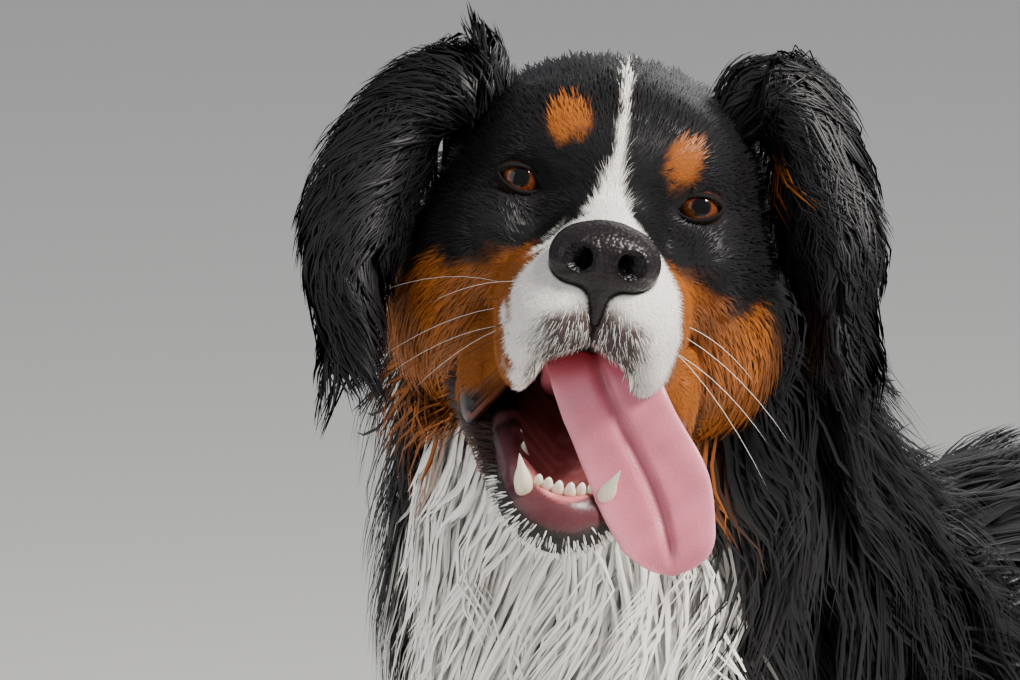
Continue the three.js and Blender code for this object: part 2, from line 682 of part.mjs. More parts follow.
// Coats, from the head backwards, so that tips lie over the roots behind them
const laid = [];
const earCoat = (ear) => EAR_COATS.flatMap((layout) => coat(ear, layout));
dress(parts, 'ear_left', earCoat(earLeft), laid, headMatrix);
dress(parts, 'ear_right', earCoat(earRight), laid, headMatrix);
dress(parts, 'neck', coat(neck, RUFF), laid);
dress(parts, 'chest', coat(trunk, CHEST_COAT), laid);
dress(parts, 'loin', coat(trunk, LOIN_COAT), laid);
dress(parts, 'rump', coat(trunk, RUMP_COAT), laid);
dress(parts, 'tail', coat(tail, TAIL_PLUME), laid);
for (const [name, side] of [['left', 1], ['right', -1]]) {
  const outerArm = side > 0 ? [-70, 120] : [60, 250];
  const outerThigh = side > 0 ? [-20, 130] : [50, 200];
  dress(parts, 'upper_arm_' + name, coat(foreLeg(side), { ...ARM_COAT, angle: outerArm }), laid);
  dress(parts, 'forearm_' + name, coat(foreLeg(side), FORE_FEATHERS), laid);
  dress(parts, 'thigh_' + name, coat(hindLeg(side), { ...BREECHES, angle: outerThigh }), laid);
}

// Colours of the coat and of the bare parts
const BLACK = { color: 0x16161a, roughness: 0.75 };
const RUST = { color: 0x8a4a1e, roughness: 0.8 };
const WHITE = { color: 0xe9e4da, roughness: 0.85 };
const finishes = {
  tongue: { color: 0xd88a96, roughness: 0.4 },
  nose: { color: 0x1b1718, roughness: 0.35 },
  eye_left: { color: 0x4a2412, roughness: 0.1 },
  eye_right: { color: 0x4a2412, roughness: 0.1 },
  forearm_left: RUST,
  forearm_right: RUST,
  shank_left: RUST,
  shank_right: RUST,
  paw_front_left: WHITE,
  paw_front_right: WHITE,
  paw_hind_left: WHITE,
  paw_hind_right: WHITE,
};

function nodeMesh(name, made) {
  const material = new THREE.MeshStandardMaterial({ metalness: 0, ...(finishes[name] ?? BLACK) });
  const mesh = new THREE.Mesh(geometryOf(made), material);
  mesh.name = name;
  return mesh;
}

const dog = new THREE.Group();
for (const [name, part] of Object.entries(parts)) dog.add(nodeMesh(name, part.dressed ?? part.plain));

// The origin lies on the floor, under the middle of the whole dog
const extent = new THREE.Box3().setFromObject(dog, true);
const middle = extent.getCenter(new THREE.Vector3());
dog.position.set(-middle.x, -middle.y, -extent.min.z);

export default dog;
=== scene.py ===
"""A life-size standing Bernese mountain dog, its head turned to its left, mouth open and tongue out.

Shapes are worked out in millimetres in the body's own frame: +Z up, the dog faces -Y, its left is +X.
The head has a frame of its own, with its origin midway between the eyes. A finished mesh is in metres,
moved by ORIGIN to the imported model's frame.
"""

import bpy
import numpy as np
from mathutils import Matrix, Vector


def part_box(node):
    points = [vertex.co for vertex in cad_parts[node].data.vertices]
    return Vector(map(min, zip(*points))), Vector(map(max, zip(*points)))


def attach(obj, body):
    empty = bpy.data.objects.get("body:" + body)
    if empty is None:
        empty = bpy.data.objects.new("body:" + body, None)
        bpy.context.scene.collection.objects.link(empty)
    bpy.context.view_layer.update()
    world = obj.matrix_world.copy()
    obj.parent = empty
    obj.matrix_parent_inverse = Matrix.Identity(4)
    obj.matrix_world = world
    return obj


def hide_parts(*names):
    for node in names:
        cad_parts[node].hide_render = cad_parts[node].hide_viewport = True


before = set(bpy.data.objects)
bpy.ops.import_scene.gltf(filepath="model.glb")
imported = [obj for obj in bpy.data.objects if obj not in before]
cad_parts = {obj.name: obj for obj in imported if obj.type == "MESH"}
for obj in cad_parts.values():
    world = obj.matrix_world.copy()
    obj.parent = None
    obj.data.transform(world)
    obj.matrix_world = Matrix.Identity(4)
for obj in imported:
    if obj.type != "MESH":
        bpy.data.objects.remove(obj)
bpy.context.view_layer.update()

rng = np.random.default_rng(7)

# Driving dimensions
WITHERS = 655.0
LENGTH = 690.0
FRONT = -0.457 * LENGTH
REAR = FRONT + LENGTH
CHEST_MID = 0.765 * WITHERS
ELBOW = 0.53 * WITHERS
WRIST = 0.22 * WITHERS
HOCK = 0.285 * WITHERS
FORE_Y = FRONT + 0.19 * LENGTH
HIND_Y = REAR - 0.045 * LENGTH
TRACK = 0.122 * WITHERS

# Head placement and sizes
EYES_AT = np.array([140.0, FRONT - 93.0, 1.325 * WITHERS])
HEAD_YAW, HEAD_PITCH, HEAD_ROLL = np.radians([53.0, 12.0, 9.6])
JAW_OPEN = np.radians(27.0)
JAW_HINGE = np.array([0.0, 70.0, -30.0])
EYE_SPREAD = 40.0
EYE_RADIUS = 11.5
EYE_DEPTH = 3.0

# Colours, as linear red, green and blue
BLACK = (0.0065, 0.006, 0.007)
RUST = (0.245, 0.070, 0.010)
WHITE = (0.86, 0.82, 0.76)
PALATE = (0.40, 0.11, 0.11)
GUM = (0.52, 0.19, 0.18)
LIP = (0.009, 0.007, 0.008)
CHIN_LIP = (0.075, 0.022, 0.026)
MUZZLE_SKIN = (0.07, 0.045, 0.045)
IRIS = (0.075, 0.020, 0.006)
IRIS_RIM = (0.022, 0.010, 0.007)
PUPIL = (0.002, 0.002, 0.002)
LID = (0.007, 0.0055, 0.0055)
NOSE = (0.0085, 0.006, 0.0068)
TONGUE = (0.50, 0.125, 0.175)
TONGUE_EDGE = (0.60, 0.19, 0.24)
# Painted shade: the tongue's root, which lies inside the mouth, is painted darker than the rest.
TONGUE_ROOT_SHADE = (0.34, 0.06, 0.08)
TOOTH_ROOT = (0.62, 0.50, 0.30)
TOOTH_TIP = (0.82, 0.78, 0.68)
CLAW = (0.03, 0.024, 0.02)

# Openings in the head's frame: the mouth's halves as an ellipsoid's centre and radii, and the right
# nostril as a bar's two ends and radii
MOUTH_ROOF = ([0, -36, -92], [20, 66, 29])
MOUTH_FLOOR = ([0, -30, -62], [22, 62, 17])
NOSTRIL = ([10, -118, -34], [11.5, -102, -32], 6.2, 5)


def turn(axis, angle):
    """The rotation matrix by an angle about one of the axes 0, 1, 2."""
    c, s = np.cos(angle), np.sin(angle)
    a, b = [(1, 2), (2, 0), (0, 1)][axis]
    made = np.eye(3)
    made[a, a] = made[b, b] = c
    made[a, b], made[b, a] = -s, s
    return made


HEAD_TURN = turn(2, HEAD_YAW) @ turn(0, -HEAD_PITCH) @ turn(1, HEAD_ROLL)
JAW_TURN = turn(0, JAW_OPEN)

# Where the body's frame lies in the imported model's frame: the middle of both eye nodes is known in both
eye_corners = np.array([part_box("eye_left"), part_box("eye_right")])
ORIGIN = eye_corners.mean(axis=(0, 1)) * 1000 - (EYES_AT + HEAD_TURN @ [0, EYE_DEPTH, 0])


def from_head(q):
    """Places in the body's frame of places in the head's frame."""
    return q @ HEAD_TURN.T + EYES_AT


def to_head(p):
    """Places in the head's frame of places in the body's frame."""
    return (p - EYES_AT) @ HEAD_TURN


def from_jaw(q):
    """Places in the head's frame of places on the shut jaw, once it has opened about its hinge."""
    return (q - JAW_HINGE) @ JAW_TURN.T + JAW_HINGE


def to_jaw(q):
    """Places on the shut jaw of places in the head's frame: from_jaw's turn undone."""
    return (q - JAW_HINGE) @ JAW_TURN + JAW_HINGE


def unit(v):
    """Each vector over its own length."""
    return v / np.maximum(np.linalg.norm(v, axis=-1, keepdims=True), 1e-9)


def ramp(low, high, x):
    """A smooth step from 0 at low to 1 at high."""
    s = np.clip((x - low) / (high - low), 0, 1)
    return s * s * (3 - 2 * s)


def ramp_line(low, high, x):
    """A straight climb from 0 at low to 1 at high."""
    return np.clip((x - low) / (high - low), 0, 1)


def mixed(a, b, share):
    """a where the share is 0, b where it is 1, and a straight mix of both between."""
    return np.asarray(a) * (1 - share) + np.asarray(b) * share


def ripple(p, scale, seed=0.0):
    """A smooth wobble between about -1 and 1: the mean of three sines along unlike directions."""
    x, y, z = np.moveaxis(p / scale, -1, 0)
    first = np.sin(1.7 * x + 2.3 * y - 1.1 * z + seed)
    second = np.sin(-2.1 * x + 1.3 * y + 2.7 * z + 2.1 * seed + 1.0)
    third = np.sin(0.9 * x - 2.9 * y + 1.9 * z + 3.7 * seed + 2.0)
    return (first + second + third) / 3


# Fields: each gives roughly the distance to a surface, negative inside it


def ellipsoid(p, centre, radii):
    """k(k - 1) / |grad k|, where k is the length of the offset from the centre over the radii."""
    offset = p - np.array(centre, float)
    radii = np.array(radii, float)
    far = np.linalg.norm(offset / radii, axis=-1)
    slope = np.linalg.norm(offset / radii**2, axis=-1)
    return far * (far - 1) / np.maximum(slope, 1e-6)


def bar(p, a, b, ra, rb):
    """Distance from the segment a-b, less a radius that runs from ra to rb along it."""
    a, b = np.array(a, float), np.array(b, float)
    axis = b - a
    t = np.clip((p - a) @ axis / (axis @ axis), 0, 1)
    return np.linalg.norm(p - a - t[..., None] * axis, axis=-1) - (ra + (rb - ra) * t)


def blend(a, b, k):
    """The lesser of two fields, with the crease between them filled over a width k."""
    h = np.maximum(k - np.abs(a - b), 0) / k
    return np.minimum(a, b) - h * h * k / 4


def carve(a, b, k):
    """Field a with field b cut out of it, its edge rounded over a width k."""
    return -blend(-a, b, k)


def both_sides(p):
    """Places mirrored onto the left side, so that one shape makes both."""
    return np.stack([np.abs(p[..., 0]), p[..., 1], p[..., 2]], axis=-1)


def head_field(point):
    """The head above the mouth: skull, brows, cheeks, muzzle and flews blended, mouth and sockets carved."""
    p = both_sides(point)
    d = ellipsoid(p, [0, 64, 4], [69, 82, 56])
    d = blend(d, ellipsoid(p, [0, 26, 12], [34, 36, 33]), 22)
    d = blend(d, ellipsoid(p, [29, 15, 17], [25, 27, 24]), 14)
    d = blend(d, ellipsoid(p, [47, 27, -27], [25, 42, 27]), 16)
    d = blend(d, ellipsoid(p, [53, 66, -46], [33, 50, 48]), 18)
    d = blend(d, bar(p, [0, 8, -24], [0, -80, -34], 24, 20), 14)
    d = blend(d, bar(p, [18, -2, -50], [15, -74, -50], 26, 22), 12)
    d = blend(d, ellipsoid(p, [27, -44, -64], [14, 42, 29]), 10)
    d = blend(d, ellipsoid(p, [14.5, -80, -55], [18.5, 16, 20]), 6)
    d = blend(d, ellipsoid(p, [45, -2, -88], [8, 26, 24]), 9)
    d = carve(d, ellipsoid(p, *MOUTH_ROOF), 5)
    return carve(d, ellipsoid(p, [EYE_SPREAD + 1, -12, 0], [13, 13, 7]), 5)


def jaw_field(point):
    """The shut lower jaw: two sides, chin, floor, throat and lips blended, the mouth carved."""
    p = both_sides(point)
    d = bar(p, [42, 62, -70], [16, -74, -80], 24, 12)
    d = blend(d, ellipsoid(p, [0, -82, -80], [22, 15, 14]), 10)
    d = blend(d, ellipsoid(p, [0, -6, -92], [28, 84, 15]), 12)
    d = blend(d, ellipsoid(p, [0, 66, -92], [52, 52, 34]), 20)
    d = blend(d, bar(p, [43, 26, -60], [21, -72, -68], 8, 6), 4)
    return carve(d, ellipsoid(p, *MOUTH_FLOOR), 4)


def nose_pad(point):
    """The nose before its openings are carved: pad, wings and lower edge blended."""
    p = both_sides(point)
    d = ellipsoid(p, [0, -93, -28], [21, 15, 14])
    d = blend(d, ellipsoid(p, [12.5, -95, -32], [12, 13, 12]), 6)
    return blend(d, bar(p, [0, -96, -40], [0, -92, -58], 7.5, 2.2), 7)


def nose_field(point):
    """The nose pad with its nostrils, side slits and cleft carved."""
    p = both_sides(point)
    d = nose_pad(point)
    d = carve(d, bar(p, *NOSTRIL), 2)
    d = carve(d, bar(p, [13, -112, -38], [24, -98, -41], 3, 2), 2)
    return carve(d, bar(p, [0, -113, -36], [0, -101, -62], 1.4, 2.2), 2)


# The sole's height, and each toe's centre and radii
SOLE = 0.6
TOES = [([-27, -20, 17], [14, 25, 18]), ([-10, -33, 19], [14.5, 28, 21])]
TOES += [([10, -33, 19], [14.5, 28, 21]), ([27, -20, 17], [14, 25, 18])]


def paw_field(p):
    """A paw that points along -Y: a pad, the wrist and four toes blended, cut flat at its sole."""
    d = ellipsoid(p, [0, 5, 24], [35, 38, 27])
    d = blend(d, bar(p, [0, 22, 78], [0, 12, 36], 25, 28), 16)
    for centre, radii in TOES:
        d = blend(d, ellipsoid(p, centre, radii), 3.5)
    return np.maximum(d, SOLE - p[..., 2])


def slope(field, p, step=0.6):
    """The field's outward unit normal, from central differences along the three axes."""
    parts = []
    for axis in np.eye(3) * step:
        parts.append(field(p + axis) - field(p - axis))
    return unit(np.stack(parts, axis=-1))


class Wrap:
    """A closed grid drawn onto a field.

    The grid point (u, v) lies on a ray from the segment a-b. u turns round the segment, v runs from a's
    cap over the sides to b's cap, and the point is the outermost place on the ray where the field is 0.
    """

    def __init__(self, field, a, b, around, along, reach=130.0, cap=0.3):
        self.field = field
        self.around, self.along = around, along
        a, b = np.array(a, float), np.array(b, float)
        axis = unit(b - a)
        side = unit(np.cross(axis, [0.1, 0.2, 1.0]))
        up = np.cross(axis, side)
        v = np.linspace(0, 1, along + 2)[1:-1]
        u = np.arange(around) / around * 2 * np.pi
        lean = np.pi / 2 * (ramp_line(1 - cap, 1, v) - 1 + ramp_line(0, cap, v))
        base = a + (b - a) * ramp_line(cap, 1 - cap, v)[:, None]
        ring = np.cos(u)[:, None] * side + np.sin(u)[:, None] * up
        ray = np.cos(lean)[:, None, None] * ring + np.sin(lean)[:, None, None] * axis
        start = np.broadcast_to(base[:, None], ray.shape)
        ends = np.stack([a, b])
        end_rays = np.stack([-axis, axis])
        self.points = self.cast(start.reshape(-1, 3), ray.reshape(-1, 3), reach)
        self.poles = self.cast(ends, end_rays, reach)

    def cast(self, start, ray, reach):
        """Strides down the ray from its reach until the field is negative, then halves the stride."""
        stride, halvings = 2.5, 11
        high = np.full(len(start), reach)
        low = np.zeros(len(start))
        open_rays = np.arange(len(start))
        for r in np.arange(reach, 0, -stride):
            inside = self.field(start[open_rays] + ray[open_rays] * r) < 0
            low[open_rays[inside]] = r
            open_rays = open_rays[~inside]
            high[open_rays] = r
            if len(open_rays) == 0:
                break
        for _ in range(halvings):
            middle = (low + high) / 2
            inside = self.field(start + ray * middle[:, None]) < 0
            low = np.where(inside, middle, low)
            high = np.where(inside, high, middle)
        return start + ray * np.maximum(low, 1.0)[:, None]

    def mesh(self):
        """Vertices, quads and end triangles of the closed grid."""
        return closed_grid(self.points, self.poles, self.around, self.along)

    def scatter(self, count):
        """Random places on the grid by area, with their (u, v)."""
        grid = self.points.reshape(self.along, self.around, 3)
        a, b = grid[:-1], grid[1:]
        c, d = np.roll(b, -1, axis=1), np.roll(a, -1, axis=1)
        area = np.linalg.norm(np.cross(c - a, d - b), axis=-1).ravel()
        cell = rng.choice(area.size, count, p=area / area.sum())
        s, t = rng.random((2, count, 1))
        a, b, c, d = (part.reshape(-1, 3)[cell] for part in (a, b, c, d))
        place = (a * (1 - s) + d * s) * (1 - t) + (b * (1 - s) + c * s) * t
        row, column = np.divmod(cell, self.around)
        uv = np.stack([(column + s[:, 0]) / self.around, (row + t[:, 0]) / (self.along - 1)], axis=-1)
        return place, uv


def closed_grid(points, poles, around, along):
    """Quads between rings and triangles to the two poles, facing outwards for rings that run a to b."""
    row = np.arange(along - 1)[:, None] * around
    column = np.arange(around)
    onward = (column + 1) % around
    corners = np.broadcast_arrays(row + column, row + onward, row + around + onward, row + around + column)
    quads = np.stack(corners, axis=-1)
    first, last = len(points), len(points) + 1
    top = (along - 1) * around
    low = np.stack([np.full(around, first), onward, column], axis=-1)
    high = np.stack([np.full(around, last), top + column, top + onward], axis=-1)
    return np.concatenate([points, poles]), quads.reshape(-1, 4), np.concatenate([low, high])


def spline(keys, t):
    """A uniform Catmull-Rom curve through the keys, at t from 0 to 1, its ends carried on straight."""
    keys = np.array(keys, float)
    padded = np.concatenate([[2 * keys[0] - keys[1]], keys, [2 * keys[-1] - keys[-2]]])
    place = np.clip(np.asarray(t, float), 0, 1) * (len(keys) - 1)
    i = np.minimum(place.astype(int), len(keys) - 2)
    w = (place - i)[..., None]
    p0, p1, p2, p3 = (padded[i + k] for k in range(4))
    m1, m2 = (p2 - p0) / 2, (p3 - p1) / 2
    return (2 * p1 - 2 * p2 + m1 + m2) * w**3 + (-3 * p1 + 3 * p2 - 2 * m1 - m2) * w**2 + m1 * w + p1


POLE_OUT = 2.0  # how far a tube's end points lie past its last rings


class Limb:
    """A tube along a smooth path. A key is a place and the half widths across, above and below.

    The surface point (t, angle) lies across * cos(angle) to the side of the path's point at t and
    above or below * sin(angle) from it, each raised to the power square, plus a growth outwards.
    """

    def __init__(self, keys, side=(1, 0, 0), square=1.0, cup=0.0):
        self.path = [key[0] for key in keys]
        self.sizes = [key[1] for key in keys]
        self.hint = np.array(side, float)
        self.square, self.cup = square, cup
        fine = spline(self.path, np.linspace(0, 1, 101))
        self.length = np.linalg.norm(np.diff(fine, axis=0), axis=1).sum()

    def frame(self, t):
        """The path's place at t, with its unit directions onwards, to the side and upwards."""
        nearby = 0.004
        centre = spline(self.path, t)
        lower = np.clip(np.asarray(t) - nearby, 0, 1)
        upper = np.clip(np.asarray(t) + nearby, 0, 1)
        along = unit(spline(self.path, upper) - spline(self.path, lower))
        side = unit(self.hint - along * (along @ self.hint)[..., None])
        return centre, along, side, np.cross(side, along)

    def place(self, t, angle, grow=0.0):
        """The surface point (t, angle), less the cup: a bend of the section by cup * sin(angle)^2."""
        centre, _, side, up = self.frame(t)
        size = spline(self.sizes, t)
        c, s = np.cos(angle), np.sin(angle)
        high = np.where(s > 0, size[..., 1], size[..., 2])
        across = (size[..., 0] + grow) * np.sign(c) * np.abs(c) ** self.square
        rise = (high + grow) * np.sign(s) * np.abs(s) ** self.square - self.cup * (1 - c * c)
        return centre + side * across[..., None] + up * rise[..., None]

    def normal(self, t, angle):
        """The outward normal: the cross product of the surface's steps along t and along the angle."""
        step = 0.01
        t = np.clip(t, step, 1 - step)
        about = self.place(t, angle + step) - self.place(t, angle - step)
        onward = self.place(t + step, angle) - self.place(t - step, angle)
        return unit(np.cross(onward, about))

    def girth(self, t):
        """The greatest half width at t."""
        return spline(self.sizes, t).max(axis=-1)

    def mesh(self, around, along):
        """The closed tube: a grid over t and angle, closed at a pole just past each end."""
        t = np.linspace(0, 1, along)
        angle = -np.arange(around) / around * 2 * np.pi
        points = self.place(t[:, None], np.broadcast_to(angle, (along, around)))
        centre, forwards, _, _ = self.frame(np.array([0.0, 1.0]))
        poles = centre + forwards * np.array([[-POLE_OUT], [POLE_OUT]])
        return closed_grid(points.reshape(-1, 3), poles, around, along)

    def scatter(self, count, t_range=(0, 1), angle_range=(0, 360)):
        """Random t and angle, even over the surface's area between the bounds."""
        lines = 60
        t = np.linspace(*t_range, lines)
        angle = np.radians(np.linspace(*angle_range, lines))
        grid = self.place(t[:, None], np.broadcast_to(angle, (lines, lines)))
        edge_a = np.diff(grid, axis=0)[:, :-1]
        edge_b = np.diff(grid, axis=1)[:-1]
        area = np.linalg.norm(np.cross(edge_a, edge_b), axis=-1).ravel()
        cell = rng.choice(area.size, count, p=area / area.sum())
        row, column = np.divmod(cell, lines - 1)
        s, w = rng.random((2, count))
        return t[row] + s * (t[1] - t[0]), angle[column] + w * (angle[1] - angle[0])

    def depth(self, p):
        """Below 1 inside the tube, above 1 outside: the offset from the nearest ring over its half widths."""
        t = np.linspace(0, 1, 40)
        centre, along, side, up = self.frame(t)
        size = spline(self.sizes, t)
        near = np.argmin(((p[:, None] - centre) ** 2).sum(axis=-1), axis=1)
        offset = p - centre[near]
        x = (offset * side[near]).sum(axis=-1) / size[near, 0]
        z = (offset * up[near]).sum(axis=-1)
        z = np.where(z > 0, z / size[near, 1], z / size[near, 2])
        beyond = (offset * along[near]).sum(axis=-1) / size[near].mean(axis=-1)
        return np.sqrt(x * x + z * z + beyond**2)


trunk = Limb([
    ([0, FRONT, CHEST_MID - 8], [44, 48, 52]),
    ([0, FRONT + 40, CHEST_MID - 4], [86, 98, 98]),
    ([0, FRONT + 120, CHEST_MID], [108, 148, 142]),
    ([0, FRONT + 225, CHEST_MID], [119, 156, 158]),
    ([0, FRONT + 330, CHEST_MID], [120, 149, 156]),
    ([0, FRONT + 430, CHEST_MID + 14], [111, 130, 136]),
    ([0, FRONT + 520, CHEST_MID + 28], [99, 108, 108]),
    ([0, FRONT + 600, CHEST_MID + 30], [97, 102, 104]),
    ([0, FRONT + 660, CHEST_MID + 20], [80, 86, 92]),
    ([0, REAR, CHEST_MID + 8], [44, 48, 52]),
])

neck = Limb([
    ([88, FRONT - 52, 1.3 * WITHERS], [44, 40, 44]),
    ([62, FRONT - 30, 1.245 * WITHERS], [70, 66, 70]),
    ([44, FRONT - 8, 1.165 * WITHERS], [86, 86, 92]),
    ([22, FRONT + 28, 1.045 * WITHERS], [95, 98, 106]),
    ([4, FRONT + 74, 0.92 * WITHERS], [108, 116, 122]),
    ([0, FRONT + 130, 0.82 * WITHERS], [110, 120, 120]),
])

tail = Limb([
    ([0, REAR - 26, 0.885 * WITHERS], [30, 30, 30]),
    ([0, REAR + 34, 0.825 * WITHERS], [27, 27, 27]),
    ([2, REAR + 70, 0.68 * WITHERS], [25, 25, 25]),
    ([6, REAR + 78, 0.5 * WITHERS], [21, 21, 21]),
    ([12, REAR + 92, 0.36 * WITHERS], [11, 11, 11]),
])


def fore_leg(side):
    """A front leg from inside the chest down to the wrist and paw, on the side 1 or -1."""
    return Limb([
        ([side * (TRACK + 4), FORE_Y - 38, 0.7 * WITHERS], [46, 74, 58]),
        ([side * (TRACK + 6), FORE_Y + 12, 0.6 * WITHERS], [44, 62, 50]),
        ([side * (TRACK + 6), FORE_Y + 28, ELBOW], [38, 46, 44]),
        ([side * TRACK, FORE_Y + 12, 0.42 * WITHERS], [34, 38, 38]),
        ([side * TRACK, FORE_Y + 2, 0.31 * WITHERS], [30, 33, 32]),
        ([side * TRACK, FORE_Y, WRIST], [30, 31, 32]),
        ([side * TRACK, FORE_Y - 4, 0.15 * WITHERS], [28, 30, 28]),
        ([side * TRACK, FORE_Y - 12, 0.088 * WITHERS], [28, 30, 27]),
    ])


def hind_leg(side):
    """A hind leg from the hip over knee and hock down to the paw, on the side 1 or -1."""
    return Limb([
        ([side * (TRACK - 14), HIND_Y - 66, 0.79 * WITHERS], [50, 88, 84]),
        ([side * (TRACK - 2), HIND_Y - 74, 0.68 * WITHERS], [50, 84, 80]),
        ([side * (TRACK + 10), HIND_Y - 96, 0.585 * WITHERS], [46, 70, 60]),
        ([side * (TRACK + 12), HIND_Y - 88, 0.49 * WITHERS], [38, 54, 46]),
        ([side * (TRACK + 8), HIND_Y - 42, 0.39 * WITHERS], [30, 38, 36]),
        ([side * (TRACK + 4), HIND_Y - 4, HOCK], [25, 33, 30]),
        ([side * (TRACK + 4), HIND_Y + 2, 0.2 * WITHERS], [24, 28, 27]),
        ([side * (TRACK + 4), HIND_Y - 8, 0.09 * WITHERS], [26, 28, 27]),
    ])


ear_left = Limb([
    ([36, 50, 28], [10, 8, 8]),
    ([53, 48, 50], [12, 8, 8]),
    ([70, 46, 59], [13, 7, 7]),
    ([85, 43, 42], [15, 5, 5]),
    ([97, 39, 12], [18, 5, 5]),
    ([107, 36, -14], [18, 4, 4]),
    ([114, 34, -38], [8, 3, 3]),
], side=(0.86, -0.42, 0.3), cup=8)

ear_right = Limb([
    ([-38, 50, 20], [10, 8, 8]),
    ([-60, 49, 38], [13, 8, 8]),
    ([-80, 47, 34], [15, 7, 7]),
    ([-99, 42, 10], [18, 5, 5]),
    ([-109, 38, -22], [20, 5, 5]),
    ([-110, 34, -54], [17, 4, 4]),
    ([-104, 32, -84], [8, 3, 3]),
], side=(0.86, 0.42, -0.3), cup=8)

tongue = Limb([
    ([0, 16, -86], [17, 7, 9]),
    ([1, -26, -82], [19, 6, 8]),
    ([5, -50, -77], [22, 5.5, 6.5]),
    ([14, -58, -90], [24, 5, 5.5]),
    ([27, -57, -109], [25, 4.5, 5]),
    ([40, -58, -128], [26, 4, 4.5]),
    ([49, -60, -147], [22, 3.5, 4]),
    ([53, -60, -162], [18, 2.5, 3]),
], side=(0.92, -0.3, 0.25), square=0.9)


# Markings


def head_markings(q):
    """How black, rust and white a place of the head is: an (N, 3) array of shares.

    The blaze is a line that widens downwards to the muzzle. A rust spot lies over each eye, and rust
    covers the cheeks and lips below the eyes. All edges wander by a small ripple.
    """
    wander = ripple(q, 9.0)
    x = np.abs(q[:, 0] + 1.5 * wander)
    z = q[:, 2]
    levels = [-140, -100, -80, -60, -40, -25, -12, 0, 10, 30, 55, 66]
    half = np.interp(z, levels, [22, 27, 35, 39, 34, 24, 11, 5, 3, 2, 1.3, 0])
    half = half - 16 * ramp(-52, -20, q[:, 1]) * ramp(-40, -60, z)
    white = 1 - ramp(-1.5, 1.5, x - half - 1.2 * wander)
    white *= 1 - ramp(55, 75, q[:, 1])
    side = np.sign(q[:, 0])
    spot = np.hypot((x - 27 - 3.5 * side) / 8.8, (z - 23.5 + 4.5 * side) / 10.8) + 0.12 * wander
    spot = (1 - ramp(0.8, 1.15, spot)) * (1 - ramp(20, 40, q[:, 1]))
    upper = np.interp(x, [36, 50, 60, 75, 90], [-30, -36, -42, -38, -46])
    back = np.interp(z, [-130, -70, -40], [140, 120, 84])
    cheek = ramp(-4, 4, upper - z + 4 * wander) * (1 - ramp(0, 18, q[:, 1] - back + 5 * wander))
    rust = np.maximum(spot, cheek) * (1 - white)
    return np.stack([1 - white - rust, rust, white], axis=-1)


def body_markings(p):
    """Shares of black, rust and white on the body: a white bib, rust legs, white paws and tail tip."""
    wander = ripple(p, 42.0) + 0.4 * ripple(p, 17.0, 2.0)
    x, y, z = p.T
    levels = [537, 603, 684, 763, 815]
    core_x = np.interp(z, levels, [0, 4, 22, 44, 62])
    core_y = np.interp(z, levels, [FRONT + 130, FRONT + 74, FRONT + 28, FRONT - 8, FRONT - 30])
    bearing = np.degrees(np.arctan2(x - core_x, core_y - y))
    middle = np.interp(z, [480, 600, 700, 780], [0, 12, 26, 32])
    half = np.interp(z, [380, 440, 520, 600, 700, 780], [0, 25, 38, 41, 41, 37])
    white = 1 - ramp(-3, 3, np.abs(bearing - middle) - half - 5 * wander)
    white *= ramp(370, 400, z) * (1 - ramp(734, 752, z + 6 * wander))
    paw = 1 - ramp(-10, 10, z - 78 - 12 * wander)
    tip = ramp(REAR + 30, REAR + 50, y) * (1 - ramp(-15, 15, z - 285 - 14 * wander))
    white = np.maximum.reduce([white, paw, tip])
    inner = 1 - ramp(TRACK - 6, TRACK + 26, np.abs(x) + 6 * wander)
    high = np.where(y < 0, ELBOW - 20 + 46 * inner, ELBOW - 66 + 60 * inner)
    leg = 1 - ramp(-12, 12, z - high - 12 * wander)
    back = np.where(y < 0, FORE_Y + 26, HIND_Y + 8)
    leg *= 1 - ramp(-8, 8, y - back - 8 * wander) * ramp(200, 240, z)
    leg *= 1 - ramp(REAR + 22, REAR + 40, y)
    leg *= ramp(16, 34, np.abs(x) + 6 * wander)
    rust = leg * (1 - white)
    return np.stack([1 - white - rust, rust, white], axis=-1)


def markings(p):
    """The markings of the head near the head, and of the body elsewhere."""
    q = to_head(p)
    head = head_markings(q)
    body = body_markings(p)
    wander = ripple(q, 14.0)
    share = 1 - ramp(110, 134, q[:, 1])
    share *= ramp(-6, 6, q[:, 2] + 126 + 7 * wander)
    wide = np.interp(q[:, 2], [-130, -76, -40], [68, 82, 100])
    share *= 1 - ramp(-5, 5, np.abs(q[:, 0]) - wide + 5 * wander)
    return head * share[:, None] + body * (1 - share[:, None])


def tint(share, strength=1.0, vary=0.0):
    """The colour of the shares, each made lighter or darker by its own random part."""
    colour = share @ np.array([BLACK, RUST, WHITE])
    lightness = 1 + vary * (rng.random(len(share)) * 2 - 1)
    return np.clip(colour * lightness[:, None] * strength, 0, 1)


# Meshes


def to_world(p):
    """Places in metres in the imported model's frame of places in the body's frame."""
    return (p + ORIGIN) * 0.001


def add_object(name, data):
    """A new object in the scene at the origin, made of the given data."""
    made = bpy.data.objects.new(name, data)
    bpy.context.scene.collection.objects.link(made)
    return made


